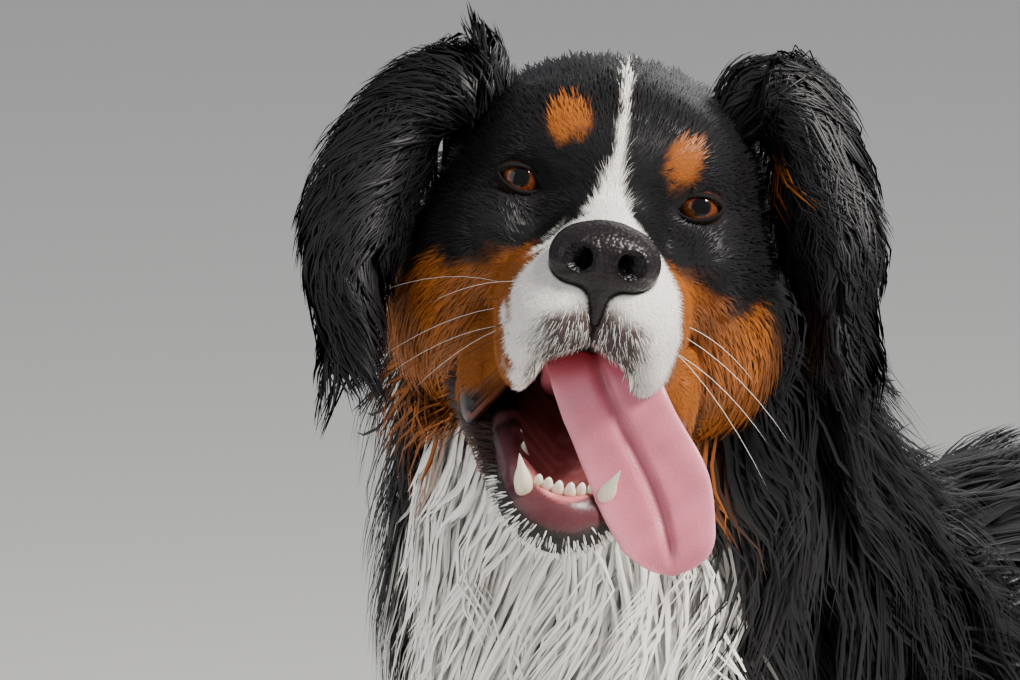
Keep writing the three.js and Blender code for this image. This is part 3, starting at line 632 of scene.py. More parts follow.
def make_piece(name, points, quads, triangles, colour=None, uv=None):
    """A mesh object from whole arrays: places in millimetres, faces, point colours and corner UVs."""
    mesh = bpy.data.meshes.new(name)
    quads = np.asarray(quads, np.int32).reshape(-1, 4)
    triangles = np.asarray(triangles, np.int32).reshape(-1, 3)
    corners = np.concatenate([quads.ravel(), triangles.ravel()])
    quad_starts = np.arange(len(quads)) * 4
    triangle_starts = len(quads) * 4 + np.arange(len(triangles)) * 3
    starts = np.concatenate([quad_starts, triangle_starts])
    mesh.vertices.add(len(points))
    mesh.vertices.foreach_set("co", to_world(points).astype(np.float32).ravel())
    mesh.loops.add(len(corners))
    mesh.loops.foreach_set("vertex_index", corners)
    mesh.polygons.add(len(starts))
    mesh.polygons.foreach_set("loop_start", starts.astype(np.int32))
    mesh.polygons.foreach_set("use_smooth", np.full(len(starts), True))
    mesh.update(calc_edges=True)
    if colour is not None:
        layer = mesh.attributes.new("coat", "FLOAT_COLOR", "POINT")
        opaque = np.c_[colour, np.ones(len(points))]
        layer.data.foreach_set("color", opaque.astype(np.float32).ravel())
    if uv is not None:
        layer = mesh.uv_layers.new(name="OFBake")
        layer.uv.foreach_set("vector", uv[corners].astype(np.float32).ravel())
    return add_object(name, mesh)


def finish_piece(made, material, nodes=()):
    """Gives a piece its material and slot, and says which solids it stands for and what it rides on."""
    made.data.materials.clear()
    made.data.materials.append(material)
    if nodes:
        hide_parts(*nodes)
    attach(made, "root")
    return made


def joined(meshes):
    """Several (points, quads, triangles) as one."""
    points, quads, triangles = [], [], []
    offset = 0
    for place, four, three in meshes:
        points.append(place)
        quads.append(np.asarray(four, int).reshape(-1, 4) + offset)
        triangles.append(np.asarray(three, int).reshape(-1, 3) + offset)
        offset += len(place)
    return np.concatenate(points), np.concatenate(quads), np.concatenate(triangles)


# Tufts

PATCH = 0.003  # the side of each tuft's own square in the coat's UV map
ROOT_SPAN = 0.98  # the part of the UV map that a limb's tufts start in
MARKED_STEP = 2  # the point along a tuft whose place gives the tuft its colour
LOWEST = 1.5  # hair stays this far above the floor
FACE_SPREAD = 0.32  # how far the shading of a tuft's sides turns away from its ridge


def tuft_mesh(path, up, width, thick, colour, uv):
    """Tapered blades of three sides, one for each row of path, an (N, K + 1, 3) array.

    At the share s of its length a blade is width * (0.5 + 1.6 s - 2.1 s^2) across, never less than 0.12 of
    the width before its tip, and thick * (1 - 0.7 s) high, with its ridge along up. Its shading normals
    are the skin's own plus the ridge, turned a little to either side.
    """
    count, steps = path.shape[0], path.shape[1] - 1
    s = np.arange(steps) / steps
    ahead = unit(np.diff(path, axis=1))
    side = unit(np.cross(ahead, up[:, :-1]))
    ridge = np.cross(side, ahead)
    half = width[:, None] / 2 * np.maximum(0.5 + 1.6 * s - 2.1 * s * s, 0.12)
    rise = thick[:, None] * (1 - 0.7 * s)
    centre = path[:, :-1]
    left = centre + side * half[..., None]
    right = centre - side * half[..., None]
    top = centre + ridge * rise[..., None]
    rings = np.stack([left, top, right], axis=2).reshape(count, -1, 3)
    points = np.concatenate([rings, path[:, -1:]], axis=1)
    each = points.shape[1]
    first = np.arange(steps - 1)[:, None] * 3
    k = np.arange(3)
    onward = (k + 1) % 3
    quads = np.stack([first + onward, first + k, first + 3 + k, first + 3 + onward], axis=-1)
    quads = quads.reshape(-1, 4)
    last = (steps - 1) * 3
    triangles = np.stack([last + onward, last + k, np.full(3, each - 1)], axis=-1)
    offset = (np.arange(count) * each)[:, None, None]
    quads = (quads[None] + offset).reshape(-1, 4)
    triangles = (triangles[None] + offset).reshape(-1, 3)
    share = np.append(np.repeat(s, 3), 1.0)
    across = np.append(np.tile([0.0, 0.5, 1.0], steps), 0.5)
    patch = np.stack([across, share], axis=-1) * PATCH
    map_uv = (uv[:, None] + patch[None]).reshape(-1, 2)
    # Painted shade: each tuft is painted darker towards its root, where the coat over it shades it, and
    # lightest at its tip.
    shade = 0.78 + 0.30 * share
    painted = colour[:, None] * shade[None, :, None]
    sky = unit(up[:, :-1] + ridge)
    facing = np.stack([unit(side * FACE_SPREAD + sky), sky, unit(sky - side * FACE_SPREAD)], axis=2)
    facing = np.concatenate([facing.reshape(count, -1, 3), up[:, -1:]], axis=1)
    painted = np.clip(painted, 0, 1).reshape(-1, 3)
    return points.reshape(-1, 3), quads, triangles, painted, map_uv, facing.reshape(-1, 3)


def coat_piece(name, parts, material):
    """One object of several tuft meshes. Their UVs are put in side by side strips of the map."""
    points, quads, triangles = joined([part[:3] for part in parts])
    colours, maps, facings = zip(*[part[3:] for part in parts])
    uv = []
    for i, own in enumerate(maps):
        across = (i + 0.02 + 0.94 * own[:, 0]) / len(parts)
        uv.append(np.stack([across, 0.01 + 0.97 * own[:, 1]], axis=-1))
    made = make_piece(name, points, quads, triangles, np.concatenate(colours), np.concatenate(uv))
    made.data.normals_split_custom_set_from_vertices(np.concatenate(facings))
    return finish_piece(made, material)


def limb_tufts(
    limb, locks, each, t_range=(0, 1), angle_range=(0, 360), length=60.0, width=3.4, height=22.0,
    fall=0.25, wave=5.0, spread=11.0, steps=4, matrix=None, keep=None, gather=0.75, longer=None,
    vary=0.16, drop=0.0, mark=markings, turn_noise=0.06,
):
    """Hair in locks over part of a limb, drawn in the limb's own t and angle.

    Each lock has a random root (t, angle) and runs on along the limb, turned downwards by fall. Each of
    its tufts starts within the spread of that root and closes in on the lock's middle by gather at its
    tip. At the share s of its length a tuft has risen by 1.7 s - 0.7 s^2 of its height, waves sideways by
    a sine that grows with s, and has sagged by drop * s^2 of its length. Where the limb has ended it
    carries straight on. longer scales the length by t and angle, matrix moves the places to the body's
    frame, keep says which roots grow hair, and mark gives the shares of black, rust and white.
    """
    rooting = 2.5  # how deep a root lies in the limb
    t0, a0 = limb.scatter(locks, t_range, angle_range)
    rooted = limb.place(t0, a0)
    scale = np.ones(locks) if longer is None else longer(t0, a0)
    long = length * scale * rng.uniform(0.75, 1.2, locks)
    girth = limb.girth(t0)
    to_down = np.cos(a0)
    down_share = fall * rng.uniform(0.85, 1.15, locks)
    step_t = long / limb.length * np.sqrt(1 / (1 + down_share**2))
    sweep = turn_noise * (2.2 * ripple(rooted, 48.0, 5.0) + rng.normal(0, 0.5, locks))
    step_a = (sweep - down_share * to_down) * long / girth
    phase = 3.5 * ripple(rooted, 60.0, 3.0) + rng.normal(0, 0.35, locks)
    turns = rng.uniform(0.7, 1.0, locks) * 2 * np.pi
    lift = height * scale**0.5 * rng.uniform(0.6, 1.25, locks)

    count = locks * each
    of_locks = (t0, a0, long, girth, step_t, step_a, phase, turns, lift)
    of_tufts = [np.repeat(values, each)[:, None] for values in of_locks]
    t0, a0, long, girth, step_t, step_a, phase, turns, lift = of_tufts
    off_t = rng.normal(0, 0.5, (count, 1)) * spread / limb.length
    off_a = rng.normal(0, 0.5, (count, 1)) * spread / girth
    own = rng.uniform(0.75, 1.1, (count, 1))
    s = np.linspace(0, 1, steps + 1)
    close = 1 - gather * s**0.8
    t = t0 + off_t * close + step_t * own * s
    start = phase + rng.normal(0, 0.1, (count, 1))
    sway = wave / girth * np.sin(start + turns * s) * s
    angle = a0 + off_a * close + step_a * own * s + sway
    climb = lift * rng.uniform(0.8, 1.15, (count, 1)) + rooting
    rise = -rooting + climb * (1.7 * s - 0.7 * s * s)

    on_limb = np.clip(t, 0, 1)
    over = np.maximum(t - 1, 0) * limb.length
    path = limb.place(on_limb, angle, rise) + limb.frame(on_limb)[1] * over[..., None]
    path[..., 2] -= drop * long * s**2
    up = limb.normal(on_limb, angle)
    uv = np.stack([on_limb[:, 0], (angle[:, 0] / (2 * np.pi)) % 1.0], axis=-1) * ROOT_SPAN
    if matrix is not None:
        path, up = matrix(path), up @ HEAD_TURN.T
    path[..., 2] = np.maximum(path[..., 2], LOWEST)
    kept = np.ones(count, bool) if keep is None else keep(path[:, 0])
    path, up, uv = path[kept], up[kept], uv[kept]
    colour = tint(mark(path[:, MARKED_STEP]), 1.0, vary)
    wide = (width * rng.uniform(0.7, 1.25, count))[kept]
    return tuft_mesh(path, up, wide, wide * 0.2, colour, uv)


def field_tufts(
    field, place, uv, flow, length, height, width, steps, colour, to_body, bend, droop=0.0, loose=False,
):
    """Hair on a field's surface, rooted at each place.

    A tuft steps along the flow, laid into the surface and turned sideways by its bend. After each step it
    is put back at height * s^1.1 above the surface, at the share s of its length, by one move along the
    field's slope. Loose hair is only ever put back outwards.
    """
    path = [place - slope(field, place) * 1.2]
    ups = [slope(field, place)]
    at = place
    direction = None
    for k in range(1, steps + 1):
        normal = slope(field, at)
        lie = flow(at) + bend[:, None] * np.cross(normal, flow(at))
        lie[:, 2] -= droop * k / steps
        lie = unit(lie - normal * (lie * normal).sum(axis=-1, keepdims=True))
        direction = lie if direction is None else unit(direction + lie)
        at = at + direction * (length / steps)[:, None]
        normal = slope(field, at)
        target = height * (k / steps) ** 1.1
        move = target - field(at)
        move = np.maximum(move, 0) if loose else move
        at = at + normal * move[:, None]
        path.append(at)
        ups.append(normal)
    path, up = np.stack(path, axis=1), np.stack(ups, axis=1)
    body, body_up = to_body(path, up)
    body[..., 2] = np.maximum(body[..., 2], LOWEST)
    return tuft_mesh(body, body_up, width, width * 0.35, colour, uv)


# Materials


def new_material(name, **values):
    """A Principled material with the named socket values set on the shader itself."""
    made = bpy.data.materials.new(name)
    made.use_nodes = True
    shader = made.node_tree.nodes["Principled BSDF"]
    for socket, value in values.items():
        shader.inputs[socket.replace("_", " ")].default_value = value
    return made, made.node_tree, shader


def add_node(tree, kind, **values):
    """A shader node with its named settings, or the values of its named sockets."""
    node = tree.nodes.new(kind)
    for name, value in values.items():
        if hasattr(node, name):
            setattr(node, name, value)
        else:
            node.inputs[name.replace("_", " ")].default_value = value
    return node


def noise_on_object(tree, scale):
    """Noise on Object coordinates, in cells of 1 / scale metres."""
    place = add_node(tree, "ShaderNodeTexCoord")
    noise = add_node(tree, "ShaderNodeTexNoise", Scale=scale, Detail=4.0)
    tree.links.new(place.outputs["Object"], noise.inputs["Vector"])
    return noise


def add_bump(tree, shader, height, strength, distance):
    """Bump from a height output, at most distance metres high, on the shader's normal."""
    bump = add_node(tree, "ShaderNodeBump", Strength=strength, Distance=distance)
    tree.links.new(height, bump.inputs["Height"])
    tree.links.new(bump.outputs["Normal"], shader.inputs["Normal"])


def tinted(tree, colour, factor, low, high):
    """The colour times a grey between low and high, picked by the factor."""
    span = add_node(tree, "ShaderNodeMapRange")
    span.inputs["To Min"].default_value = low
    span.inputs["To Max"].default_value = high
    tree.links.new(factor, span.inputs["Value"])
    mix = add_node(tree, "ShaderNodeMix", data_type="RGBA", blend_type="MULTIPLY")
    mix.inputs["Factor"].default_value = 1.0
    tree.links.new(colour, mix.inputs[6])
    tree.links.new(span.outputs["Result"], mix.inputs[7])
    return mix.outputs[2]


def paint_base(tree, shader, factor, low, high):
    """Gives the shader the mesh's own paint, made between low and high times as light by the factor."""
    paint = add_node(tree, "ShaderNodeVertexColor", layer_name="coat")
    colour = tinted(tree, paint.outputs["Color"], factor, low, high)
    tree.links.new(colour, shader.inputs["Base Color"])


def painted_material(name, low, high, scale, bump=0.0, distance=0.0, **values):
    """A material whose colour is the mesh's own paint, varied by noise that also gives its bump."""
    made, tree, shader = new_material(name, **values)
    noise = noise_on_object(tree, scale)
    paint_base(tree, shader, noise.outputs["Fac"], low, high)
    if bump:
        add_bump(tree, shader, noise.outputs["Fac"], bump, distance)
    return made


hair = painted_material("hair", 0.8, 1.2, 260, Roughness=0.42, Specular_IOR_Level=0.16)
long_hair = painted_material("long_hair", 0.85, 1.15, 160, Roughness=0.4, Specular_IOR_Level=0.2)
undercoat = painted_material(
    "undercoat", 0.6, 1.1, 700, 0.5, 0.001, Roughness=0.85, Specular_IOR_Level=0.12)
wet_skin = painted_material(
    "wet_skin", 0.8, 1.15, 420, 0.25, 0.0006, Roughness=0.3, Specular_IOR_Level=0.2)
enamel = painted_material("enamel", 0.93, 1.05, 300, 0.1, 0.0003, Roughness=0.2, Coat_Weight=0.2)
eye_surface = painted_material("eye_surface", 0.9, 1.1, 1500, Roughness=0.05, Specular_IOR_Level=0.25)
tongue_skin = painted_material(
    "tongue_skin", 0.9, 1.1, 900, 0.35, 0.0006, Roughness=0.36, Subsurface_Weight=0.12)
claw_horn = painted_material("claw_horn", 0.7, 1.3, 500, 0.1, 0.0003, Roughness=0.4)


def nose_material():
    """Black leather in raised cells about 1.4 mm across, painted lighter on each cell and darker in the
    grooves as painted light and shade.
    """
    made, tree, shader = new_material("nose_leather", Roughness=0.36, Specular_IOR_Level=0.2)
    place = add_node(tree, "ShaderNodeTexCoord")
    cells = add_node(tree, "ShaderNodeTexVoronoi", Scale=640.0, feature="SMOOTH_F1")
    tree.links.new(place.outputs["Object"], cells.inputs["Vector"])
    # Painted light and shade: each cell is painted lighter at its raised middle and darker in the grooves
    # between cells.
    paint_base(tree, shader, cells.outputs["Distance"], 1.3, 0.6)
    invert = add_node(tree, "ShaderNodeMath", operation="SUBTRACT")
    invert.inputs[0].default_value = 1.0
    tree.links.new(cells.outputs["Distance"], invert.inputs[1])
    add_bump(tree, shader, invert.outputs["Value"], 0.55, 0.0008)
    return made


# Skin

head_wrap = Wrap(head_field, [0, -62, -40], [0, 66, -14], 200, 160)
jaw_wrap = Wrap(jaw_field, [0, -70, -84], [0, 62, -86], 110, 90)


def lined(q, base, centre, radii, rim):
    """Adds the mouth's lining and its black lip edge to a skin's colours, and says where they are wet.

    Both lie by the distance outside the mouth's own ellipsoid, the lip within the rim. The lining is a
    mix of palate and gum by a ripple, and the lip is black, but dark red at the front.
    """
    inside = ellipsoid(both_sides(q), centre, radii)
    wander = ripple(q, 5.0, 4.0)
    lining = (1 - ramp(2.0, 4.0, inside + 0.6 * wander))[:, None]
    lip = (1 - ramp(rim - 2, rim + 2, inside + wander))[:, None]
    mottle = ramp(0.1, 0.5, wander)[:, None]
    inner = mixed(PALATE, GUM, mottle)
    front = (1 - ramp(-62, -40, q[:, 1]))[:, None]
    edge = mixed(LIP, CHIN_LIP, front)
    edge = edge + np.array(GUM) * 0.15 * ramp(0.25, 0.6, ripple(q, 8.0, 6.0))[:, None] * (1 - front)
    colour = mixed(base, edge, lip)
    return mixed(colour, inner, lining), np.maximum(lining, lip)[:, 0]


def muzzle_grey(q):
    """1 under the nose, where dark skin shows between grizzled hairs, falling to 0 up the white sides."""
    wander = 3 * ripple(q, 8.0, 1.0)
    share = ramp(-44, -54, q[:, 2] + 0.45 * np.abs(q[:, 0]) + wander)
    return share * (1 - ramp(17, 30, np.abs(q[:, 0]) + wander)) * (1 - ramp(-66, -52, q[:, 1]))


def lip_corner(q):
    """1 on the bare black fold that hangs at each corner of the mouth."""
    p = both_sides(q)
    far = np.linalg.norm((p[:, [0, 2]] - [42, -107]) / [15, 13], axis=1) + 0.1 * ripple(q, 8.0)
    return (1 - ramp(0.85, 1.1, far)) * (1 - ramp(14, 24, q[:, 1]))


def head_skin():
    """The head's skin with its paint and wetness: markings, then muzzle, mouth, lip folds and eye rims."""
    points, quads, triangles = head_wrap.mesh()
    # Painted shade: the skin under the hair is painted at 0.8 of its markings' colours, as the shade inside
    # the coat.
    colour = tint(head_markings(points), 0.8)
    colour = mixed(colour, MUZZLE_SKIN, muzzle_grey(points)[:, None])
    colour, wet = lined(points, colour, *MOUTH_ROOF, 4.0)
    corner = lip_corner(points)
    mottle = ramp(0.2, 0.7, ripple(points, 7.0, 6.0))[:, None]
    colour = mixed(colour, mixed(LIP, GUM, 0.3 * mottle), corner[:, None])
    wet = np.maximum(wet, corner)
    # Painted shade: a dark line down the middle of the lip below the nose, where its cleft is.
    cleft = (1 - ramp(0.5, 1.6, np.abs(points[:, 0]))) * (points[:, 2] < -50) * (points[:, 1] < -70)
    colour = colour * (1 - 0.9 * cleft[:, None])
    eye_gap = np.linalg.norm((both_sides(points) - [EYE_SPREAD, -6, 0]) / [1.25, 1, 0.85], axis=1)
    rim = (1 - ramp(12, 14.5, eye_gap) * ramp(0.5, 1.5, nose_pad(points)))[:, None]
    return (from_head(points), quads, triangles), mixed(colour, LIP, rim), wet


def jaw_skin():
    """The lower jaw's skin, opened about its hinge, with its paint and wetness."""
    points, quads, triangles = jaw_wrap.mesh()
    # Painted shade: the jaw's skin under its hair is painted at 0.15 of its markings' colours, as the shade
    # inside the coat.
    colour, wet = lined(points, tint(jaw_markings(points), 0.15), *MOUTH_FLOOR, 13.0)
    return (from_head(from_jaw(points)), quads, triangles), colour, wet


def jaw_markings(p):
    """The lower jaw is grey at the chin, black with a little rust behind it, and white at the throat."""
    behind = ramp(-72, -60, p[:, 1])[:, None]
    own = mixed([0.72, 0.0, 0.28], [0.9, 0.1, 0.0], behind)
    below = ramp(100, 112, -p[:, 2]) * ramp(0, 40, p[:, 1])
    throat = np.clip(ramp(80, 110, p[:, 1]) + below, 0, 1)[:, None]
    return mixed(own, [0.0, 0.1, 0.9], throat)


def from_paw(q, side, y, size):
    """Places in the body's frame of places on a paw of its own: scaled and moved under its leg."""
    hind_out = 4 if y > 0 else 0
    return q * size + np.array([side * (TRACK + hind_out), y, 0.0])


PAWS = [(side, y, size) for side in (1, -1) for y, size in ((FORE_Y - 20, 1.0), (HIND_Y - 18, 0.94))]
paw_wrap = Wrap(paw_field, [0, -12, 22], [0, 8, 30], 90, 70, reach=90)
LEGS = [fore_leg(1), fore_leg(-1), hind_leg(1), hind_leg(-1)]
VOXEL = 0.0062  # metres


def whole_mesh(shape):
    """Points in the body's frame, quads and triangles of a Blender mesh, read as whole arrays."""
    points = np.empty(len(shape.vertices) * 3)
    shape.vertices.foreach_get("co", points)
    corners = np.empty(len(shape.loops), int)
    shape.loops.foreach_get("vertex_index", corners)
    sides = np.empty(len(shape.polygons), int)
    shape.polygons.foreach_get("loop_total", sides)
    starts = np.empty(len(shape.polygons), int)
    shape.polygons.foreach_get("loop_start", starts)
    quads = corners[starts[sides == 4][:, None] + np.arange(4)]
    triangles = corners[starts[sides == 3][:, None] + np.arange(3)]
    return points.reshape(-1, 3) * 1000 - ORIGIN, quads, triangles


def body_skin():
    """Trunk, neck, tail, legs, paws and ears, fused by a voxel remesh and smoothed."""
    shells = [trunk.mesh(72, 90), neck.mesh(64, 60), tail.mesh(32, 60)]
    shells += [leg.mesh(40, 70) for leg in LEGS]
    for paw in PAWS:
        points, quads, triangles = paw_wrap.mesh()
        shells.append((from_paw(points, *paw), quads, triangles))
    for ear in (ear_left, ear_right):
        points, quads, triangles = ear.mesh(40, 50)
        shells.append((from_head(points), quads, triangles))
    rough = make_piece("rough_body", *joined(shells))
    remesh = rough.modifiers.new("fuse", "REMESH")
    remesh.mode = "VOXEL"
    remesh.voxel_size = VOXEL
    soften = rough.modifiers.new("soften", "SMOOTH")
    soften.factor = 0.5
    soften.iterations = 6
    shape = rough.evaluated_get(bpy.context.evaluated_depsgraph_get()).to_mesh()
    points, quads, triangles = whole_mesh(shape)
    bpy.data.objects.remove(rough)
    # Painted shade: the skin under the hair is painted at 0.7 of its markings' colours, as the shade inside
    # the coat.
    colour = tint(markings(points), 0.7)
    return (points, quads, triangles), colour, np.zeros(len(points))


LEG_NODES = ("upper_arm", "forearm", "paw_front", "thigh", "shank", "paw_hind")
FLESH = ["head", "lower_jaw", "ear_left", "ear_right", "neck", "chest", "loin", "rump", "tail"]
FLESH += [f"{part}_{where}" for where in ("left", "right") for part in LEG_NODES]

skin_shapes, skin_colours, skin_wet = zip(head_skin(), jaw_skin(), body_skin())
skin_points, skin_quads, skin_triangles = joined(skin_shapes)
skin = make_piece("skin", skin_points, skin_quads, skin_triangles, np.concatenate(skin_colours))
finish_piece(skin, undercoat, FLESH)
skin.data.materials.append(wet_skin)
wet = np.concatenate(skin_wet)
face_wet = np.concatenate([wet[skin_quads].mean(axis=1), wet[skin_triangles].mean(axis=1)]) > 0.5
skin.data.polygons.foreach_set("material_index", face_wet.astype(np.int32))


# Head parts


def eye_piece(name, x):
    """An eyeball: sin(v) times a ring turned by u, plus cos(v) forwards, with a slightly raised cornea.

    The colour goes by the angle from the eye's aim: black pupil, amber-brown iris with rays, dark rim.
    """
    around, along = 64, 48
    u = np.arange(around) / around * 2 * np.pi
    v = np.linspace(0, np.pi, along + 2)[1:-1]
    ring = np.stack([np.cos(u), np.zeros(around), np.sin(u)], axis=-1)
    points = np.sin(v)[:, None, None] * ring + np.cos(v)[:, None, None] * np.array([0, -1, 0])
    poles = np.array([[0, -1.0, 0], [0, 1.0, 0]])
    points, quads, triangles = closed_grid(points.reshape(-1, 3), poles, around, along)
    aim = unit(np.array([0.08 * np.sign(x), -1.0, 0.02]))
    angle = np.degrees(np.arccos(np.clip(points @ aim, -1, 1)))
    bearing = np.arctan2(points[:, 2], points[:, 0])
    rays = 0.5 + 0.5 * np.sin(bearing * 23 + 2 * np.sin(bearing * 7)) * np.sin(bearing * 41)
    iris = np.array(IRIS) * (0.6 + 0.9 * rays)[:, None]
    colour = mixed(iris, PUPIL, (1 - ramp(20, 24, angle))[:, None])
    colour = mixed(colour, IRIS_RIM, ramp(38, 44, angle)[:, None])
    cornea = 1 + 0.045 * (1 - ramp(20, 48, angle))
    place = points * (EYE_RADIUS * cornea)[:, None] + [x, EYE_DEPTH, 0]
    made = make_piece(name, from_head(place), quads[:, ::-1], triangles[:, ::-1], colour)
    return finish_piece(made, eye_surface, [name])


eye_piece("eye_left", EYE_SPREAD)
eye_piece("eye_right", -EYE_SPREAD)


def lids_mesh(sign):
    """A band over the eyeball round an almond opening.

    u turns round the opening, v round the band's own section, whose width runs from the opening outwards
    and whose thickness is 1.1 * sin(v).
    """
    around, section = 72, 14
    u = np.arange(around)[:, None] / around * 2 * np.pi
    v = np.arange(section)[None] / section * 2 * np.pi
    out = (1 - np.cos(v)) / 2
    upper = np.maximum(np.sin(u), 0)
    x = np.cos(u) * (10.2 + 2.4 * out)
    z = np.sin(u) * (5.2 + 2.4 * out - 0.7 * upper) * (1 - 0.28 * np.cos(u) ** 2)
    ball = np.sqrt(np.maximum((EYE_RADIUS + 0.7) ** 2 - x * x * 0.72 - z * z, 9))
    y = EYE_DEPTH - ball - 1.1 * np.sin(v) - 0.5 * upper
    points = np.stack([EYE_SPREAD + x, y, z + 1.2 * x / 11], axis=-1).reshape(-1, 3) * [sign, 1, 1]
    row = np.arange(around)[:, None] * section
    next_row = (row + section) % (around * section)
    column = np.arange(section)
    after = (column + 1) % section
    corners = np.broadcast_arrays(row + column, row + after, next_row + after, next_row + column)
    quads = np.stack(corners, axis=-1).reshape(-1, 4)
    return from_head(points), quads if sign > 0 else quads[:, ::-1], np.zeros((0, 3), int)


lids_shape = joined([lids_mesh(1), lids_mesh(-1)])
lids = make_piece("lids", *lids_shape, np.tile(LID, (len(lids_shape[0]), 1)))
finish_piece(lids, undercoat)

nose_wrap = Wrap(nose_field, [-6, -90, -32], [6, -90, -32], 150, 120, reach=50)
nose_points, nose_quads, nose_triangles = nose_wrap.mesh()
# Painted shade: the nose is painted darker still inside its nostrils.
nostril = 1 - ramp(0, 4, bar(both_sides(nose_points), *NOSTRIL))
nose_colour = np.array(NOSE) * (1 - 0.85 * nostril[:, None])
nose = make_piece("nose", from_head(nose_points), nose_quads, nose_triangles, nose_colour)
finish_piece(nose, nose_material(), ["nose"])


def tongue_piece():
    """The tongue's tube, with a groove down its middle, curled sides and a rounded tip.

    Across a section the groove is a narrow bell, and the curl is the cube of the share of the half width.
    """
    around, along = 96, 120
    t = np.linspace(0, 1, along)
    angle = -np.arange(around) / around * 2 * np.pi
    angle = np.broadcast_to(angle, (along, around))
    points = tongue.place(t[:, None], angle)
    _, _, side, up = tongue.frame(t)
    across = np.cos(angle)
    top = np.sin(angle) < 0
    groove = np.exp(-((across / 0.09) ** 2)) * (ramp(0.1, 0.4, t) * (1 - ramp(0.86, 1, t)))[:, None]
    curl = np.abs(across) ** 3 * 3.0 * ramp(0.25, 0.6, t)[:, None]
    points = points - up[:, None] * (curl - 3.2 * groove * top)[..., None]
    middle = tongue.frame(t)[0][:, None]
    rounded = np.sqrt(1 - 0.96 * ramp_line(0.86, 1, t) ** 2)[:, None, None]
    points = middle + (points - middle) * rounded
    fine = 0.45 * ripple(points, 9.0, 5.0)
    points = points + up[:, None] * (fine * top)[..., None]
    centre, forwards, _, _ = tongue.frame(np.array([0.0, 1.0]))
    poles = centre + forwards * np.array([[-1.0], [1.0]])
    place, quads, triangles = closed_grid(points.reshape(-1, 3), poles, around, along)
    edge = np.append((np.abs(across) ** 4).ravel(), [0, 0])[:, None]
    # Painted shade: darker towards the root, the part that lies inside the mouth.
    inner = np.append(np.repeat(1 - ramp(0.0, 0.38, t), around), [1, 0])[:, None]
    # Painted shade: the tongue is painted darker in the groove down its middle.
    dent = np.append((groove * top).ravel(), [0, 0])[:, None]
    colour = mixed(mixed(TONGUE, TONGUE_EDGE, edge), TONGUE_ROOT_SHADE, inner)
    colour = colour * (1 - 0.35 * dent) * (1 + 0.10 * ripple(place, 7.0)[:, None])
    made = make_piece("tongue", from_head(place), quads, triangles, np.clip(colour, 0, 1))
    return finish_piece(made, tongue_skin, ["tongue"])


tongue_piece()


TOOTH_GRID = (16, 12)


def tooth_mesh(root, tip, radius, hook, flat=1.0, blunt=2.2):
    """A curved cone from root to tip: its radius is radius * (1 - s^blunt), and it hooks by hook * s^2."""
    around, along = TOOTH_GRID
    root, tip = np.array(root, float), np.array(tip, float)
    s = np.linspace(0, 0.97, along)
    u = np.arange(around) / around * 2 * np.pi
    way = tip - root
    ahead = unit(way)
    across = unit(np.array([1.0, 0, 0]) - ahead * ahead[0])
    back = np.cross(ahead, across)
    swell = radius * (1 - s**blunt) * (0.86 + 0.3 * np.sin(np.pi * np.minimum(s * 1.6, 1)))
    ring = np.cos(u)[:, None] * across + np.sin(u)[:, None] * back * flat
    centre = root + s[:, None] * way + (hook * s * s)[:, None] * back
    points = centre[:, None] + swell[:, None, None] * ring
    ends = np.stack([root, tip + hook * back])
    return closed_grid(points.reshape(-1, 3), ends, around, along)


def flipped(mesh):
    """The mirror image on the other side, its faces turned to face outwards again."""
    points, quads, triangles = mesh
    return points * [-1, 1, 1], quads[:, ::-1], triangles[:, ::-1]


def teeth_piece():
    """Incisors, canines and the first cheek teeth of both jaws, each with its mirror image."""
    lower = []
    for x in (2.6, 7.4, 11.8):
        lower.append(tooth_mesh([x, -84 + x * 0.35, -72], [x, -88 + x * 0.3, -61.5], 2.6, 0, 0.7, 6))
    lower.append(tooth_mesh([17, -83, -73], [22.5, -94, -45], 4.1, -3.5, 1.0, 1.7))
    upper = [tooth_mesh([20, -72, -62], [21, -76, -86], 4.2, -3, 1.0, 1.8)]
    for i in range(4):
        x, y = 20 + 2 * i, -58 + 13 * i
        lower.append(tooth_mesh([x, y, -75], [x + 0.5, y - 1, -60 - i], 4.4, 0))
        x, y = 23 + 1.5 * i, -50 + 14 * i
        upper.append(tooth_mesh([x, y, -64], [x + 0.5, y - 1, -82], 4.8, 0))
    lower += [flipped(tooth) for tooth in lower]
    upper += [flipped(tooth) for tooth in upper]
    meshes = [(from_jaw(points), quads, triangles) for points, quads, triangles in lower] + upper
    points, quads, triangles = joined(meshes)
    around, along = TOOTH_GRID
    height = np.append(np.repeat(np.linspace(0, 1, along), around), [0, 1])
    colour = mixed(TOOTH_ROOT, TOOTH_TIP, np.tile(height, len(meshes))[:, None])
    made = make_piece("teeth", from_head(points), quads, triangles, colour)
    return finish_piece(made, enamel)


teeth_piece()


# Coat of the head


def flow_of_head(q):
    """Hair lies away from the nose, and on the cheeks and throat it also lies down and out."""
    lie = unit(q - [0, -118, -34])
    low = ramp(-20, -60, q[:, 2]) * ramp(-30, 20, q[:, 1])
    hang = 0.75 * low + 1.3 * ramp(-30, -60, q[:, 2]) * ramp(10, 50, q[:, 1])
    return unit(lie + np.stack([np.sign(q[:, 0]) * 0.2 * low, 0 * low, -hang], axis=-1))


def bare_of_head(q):
    """True where no hair grows: the mouth, the nose's place and the eyes."""
    p = both_sides(q)
    mouth = (ellipsoid(p, *MOUTH_ROOF) < 4.0) | (lip_corner(q) > 0.5)
    at_nose = nose_pad(q) < 0.8
    at_eye = np.linalg.norm((p - [EYE_SPREAD, -7, 0]) / [1.35, 1, 0.8], axis=1) < 11.6
    return mouth | at_nose | at_eye


def head_to_body(path, up):
    """Places and directions of the head's frame, in the body's."""
    return from_head(path), up @ HEAD_TURN.T


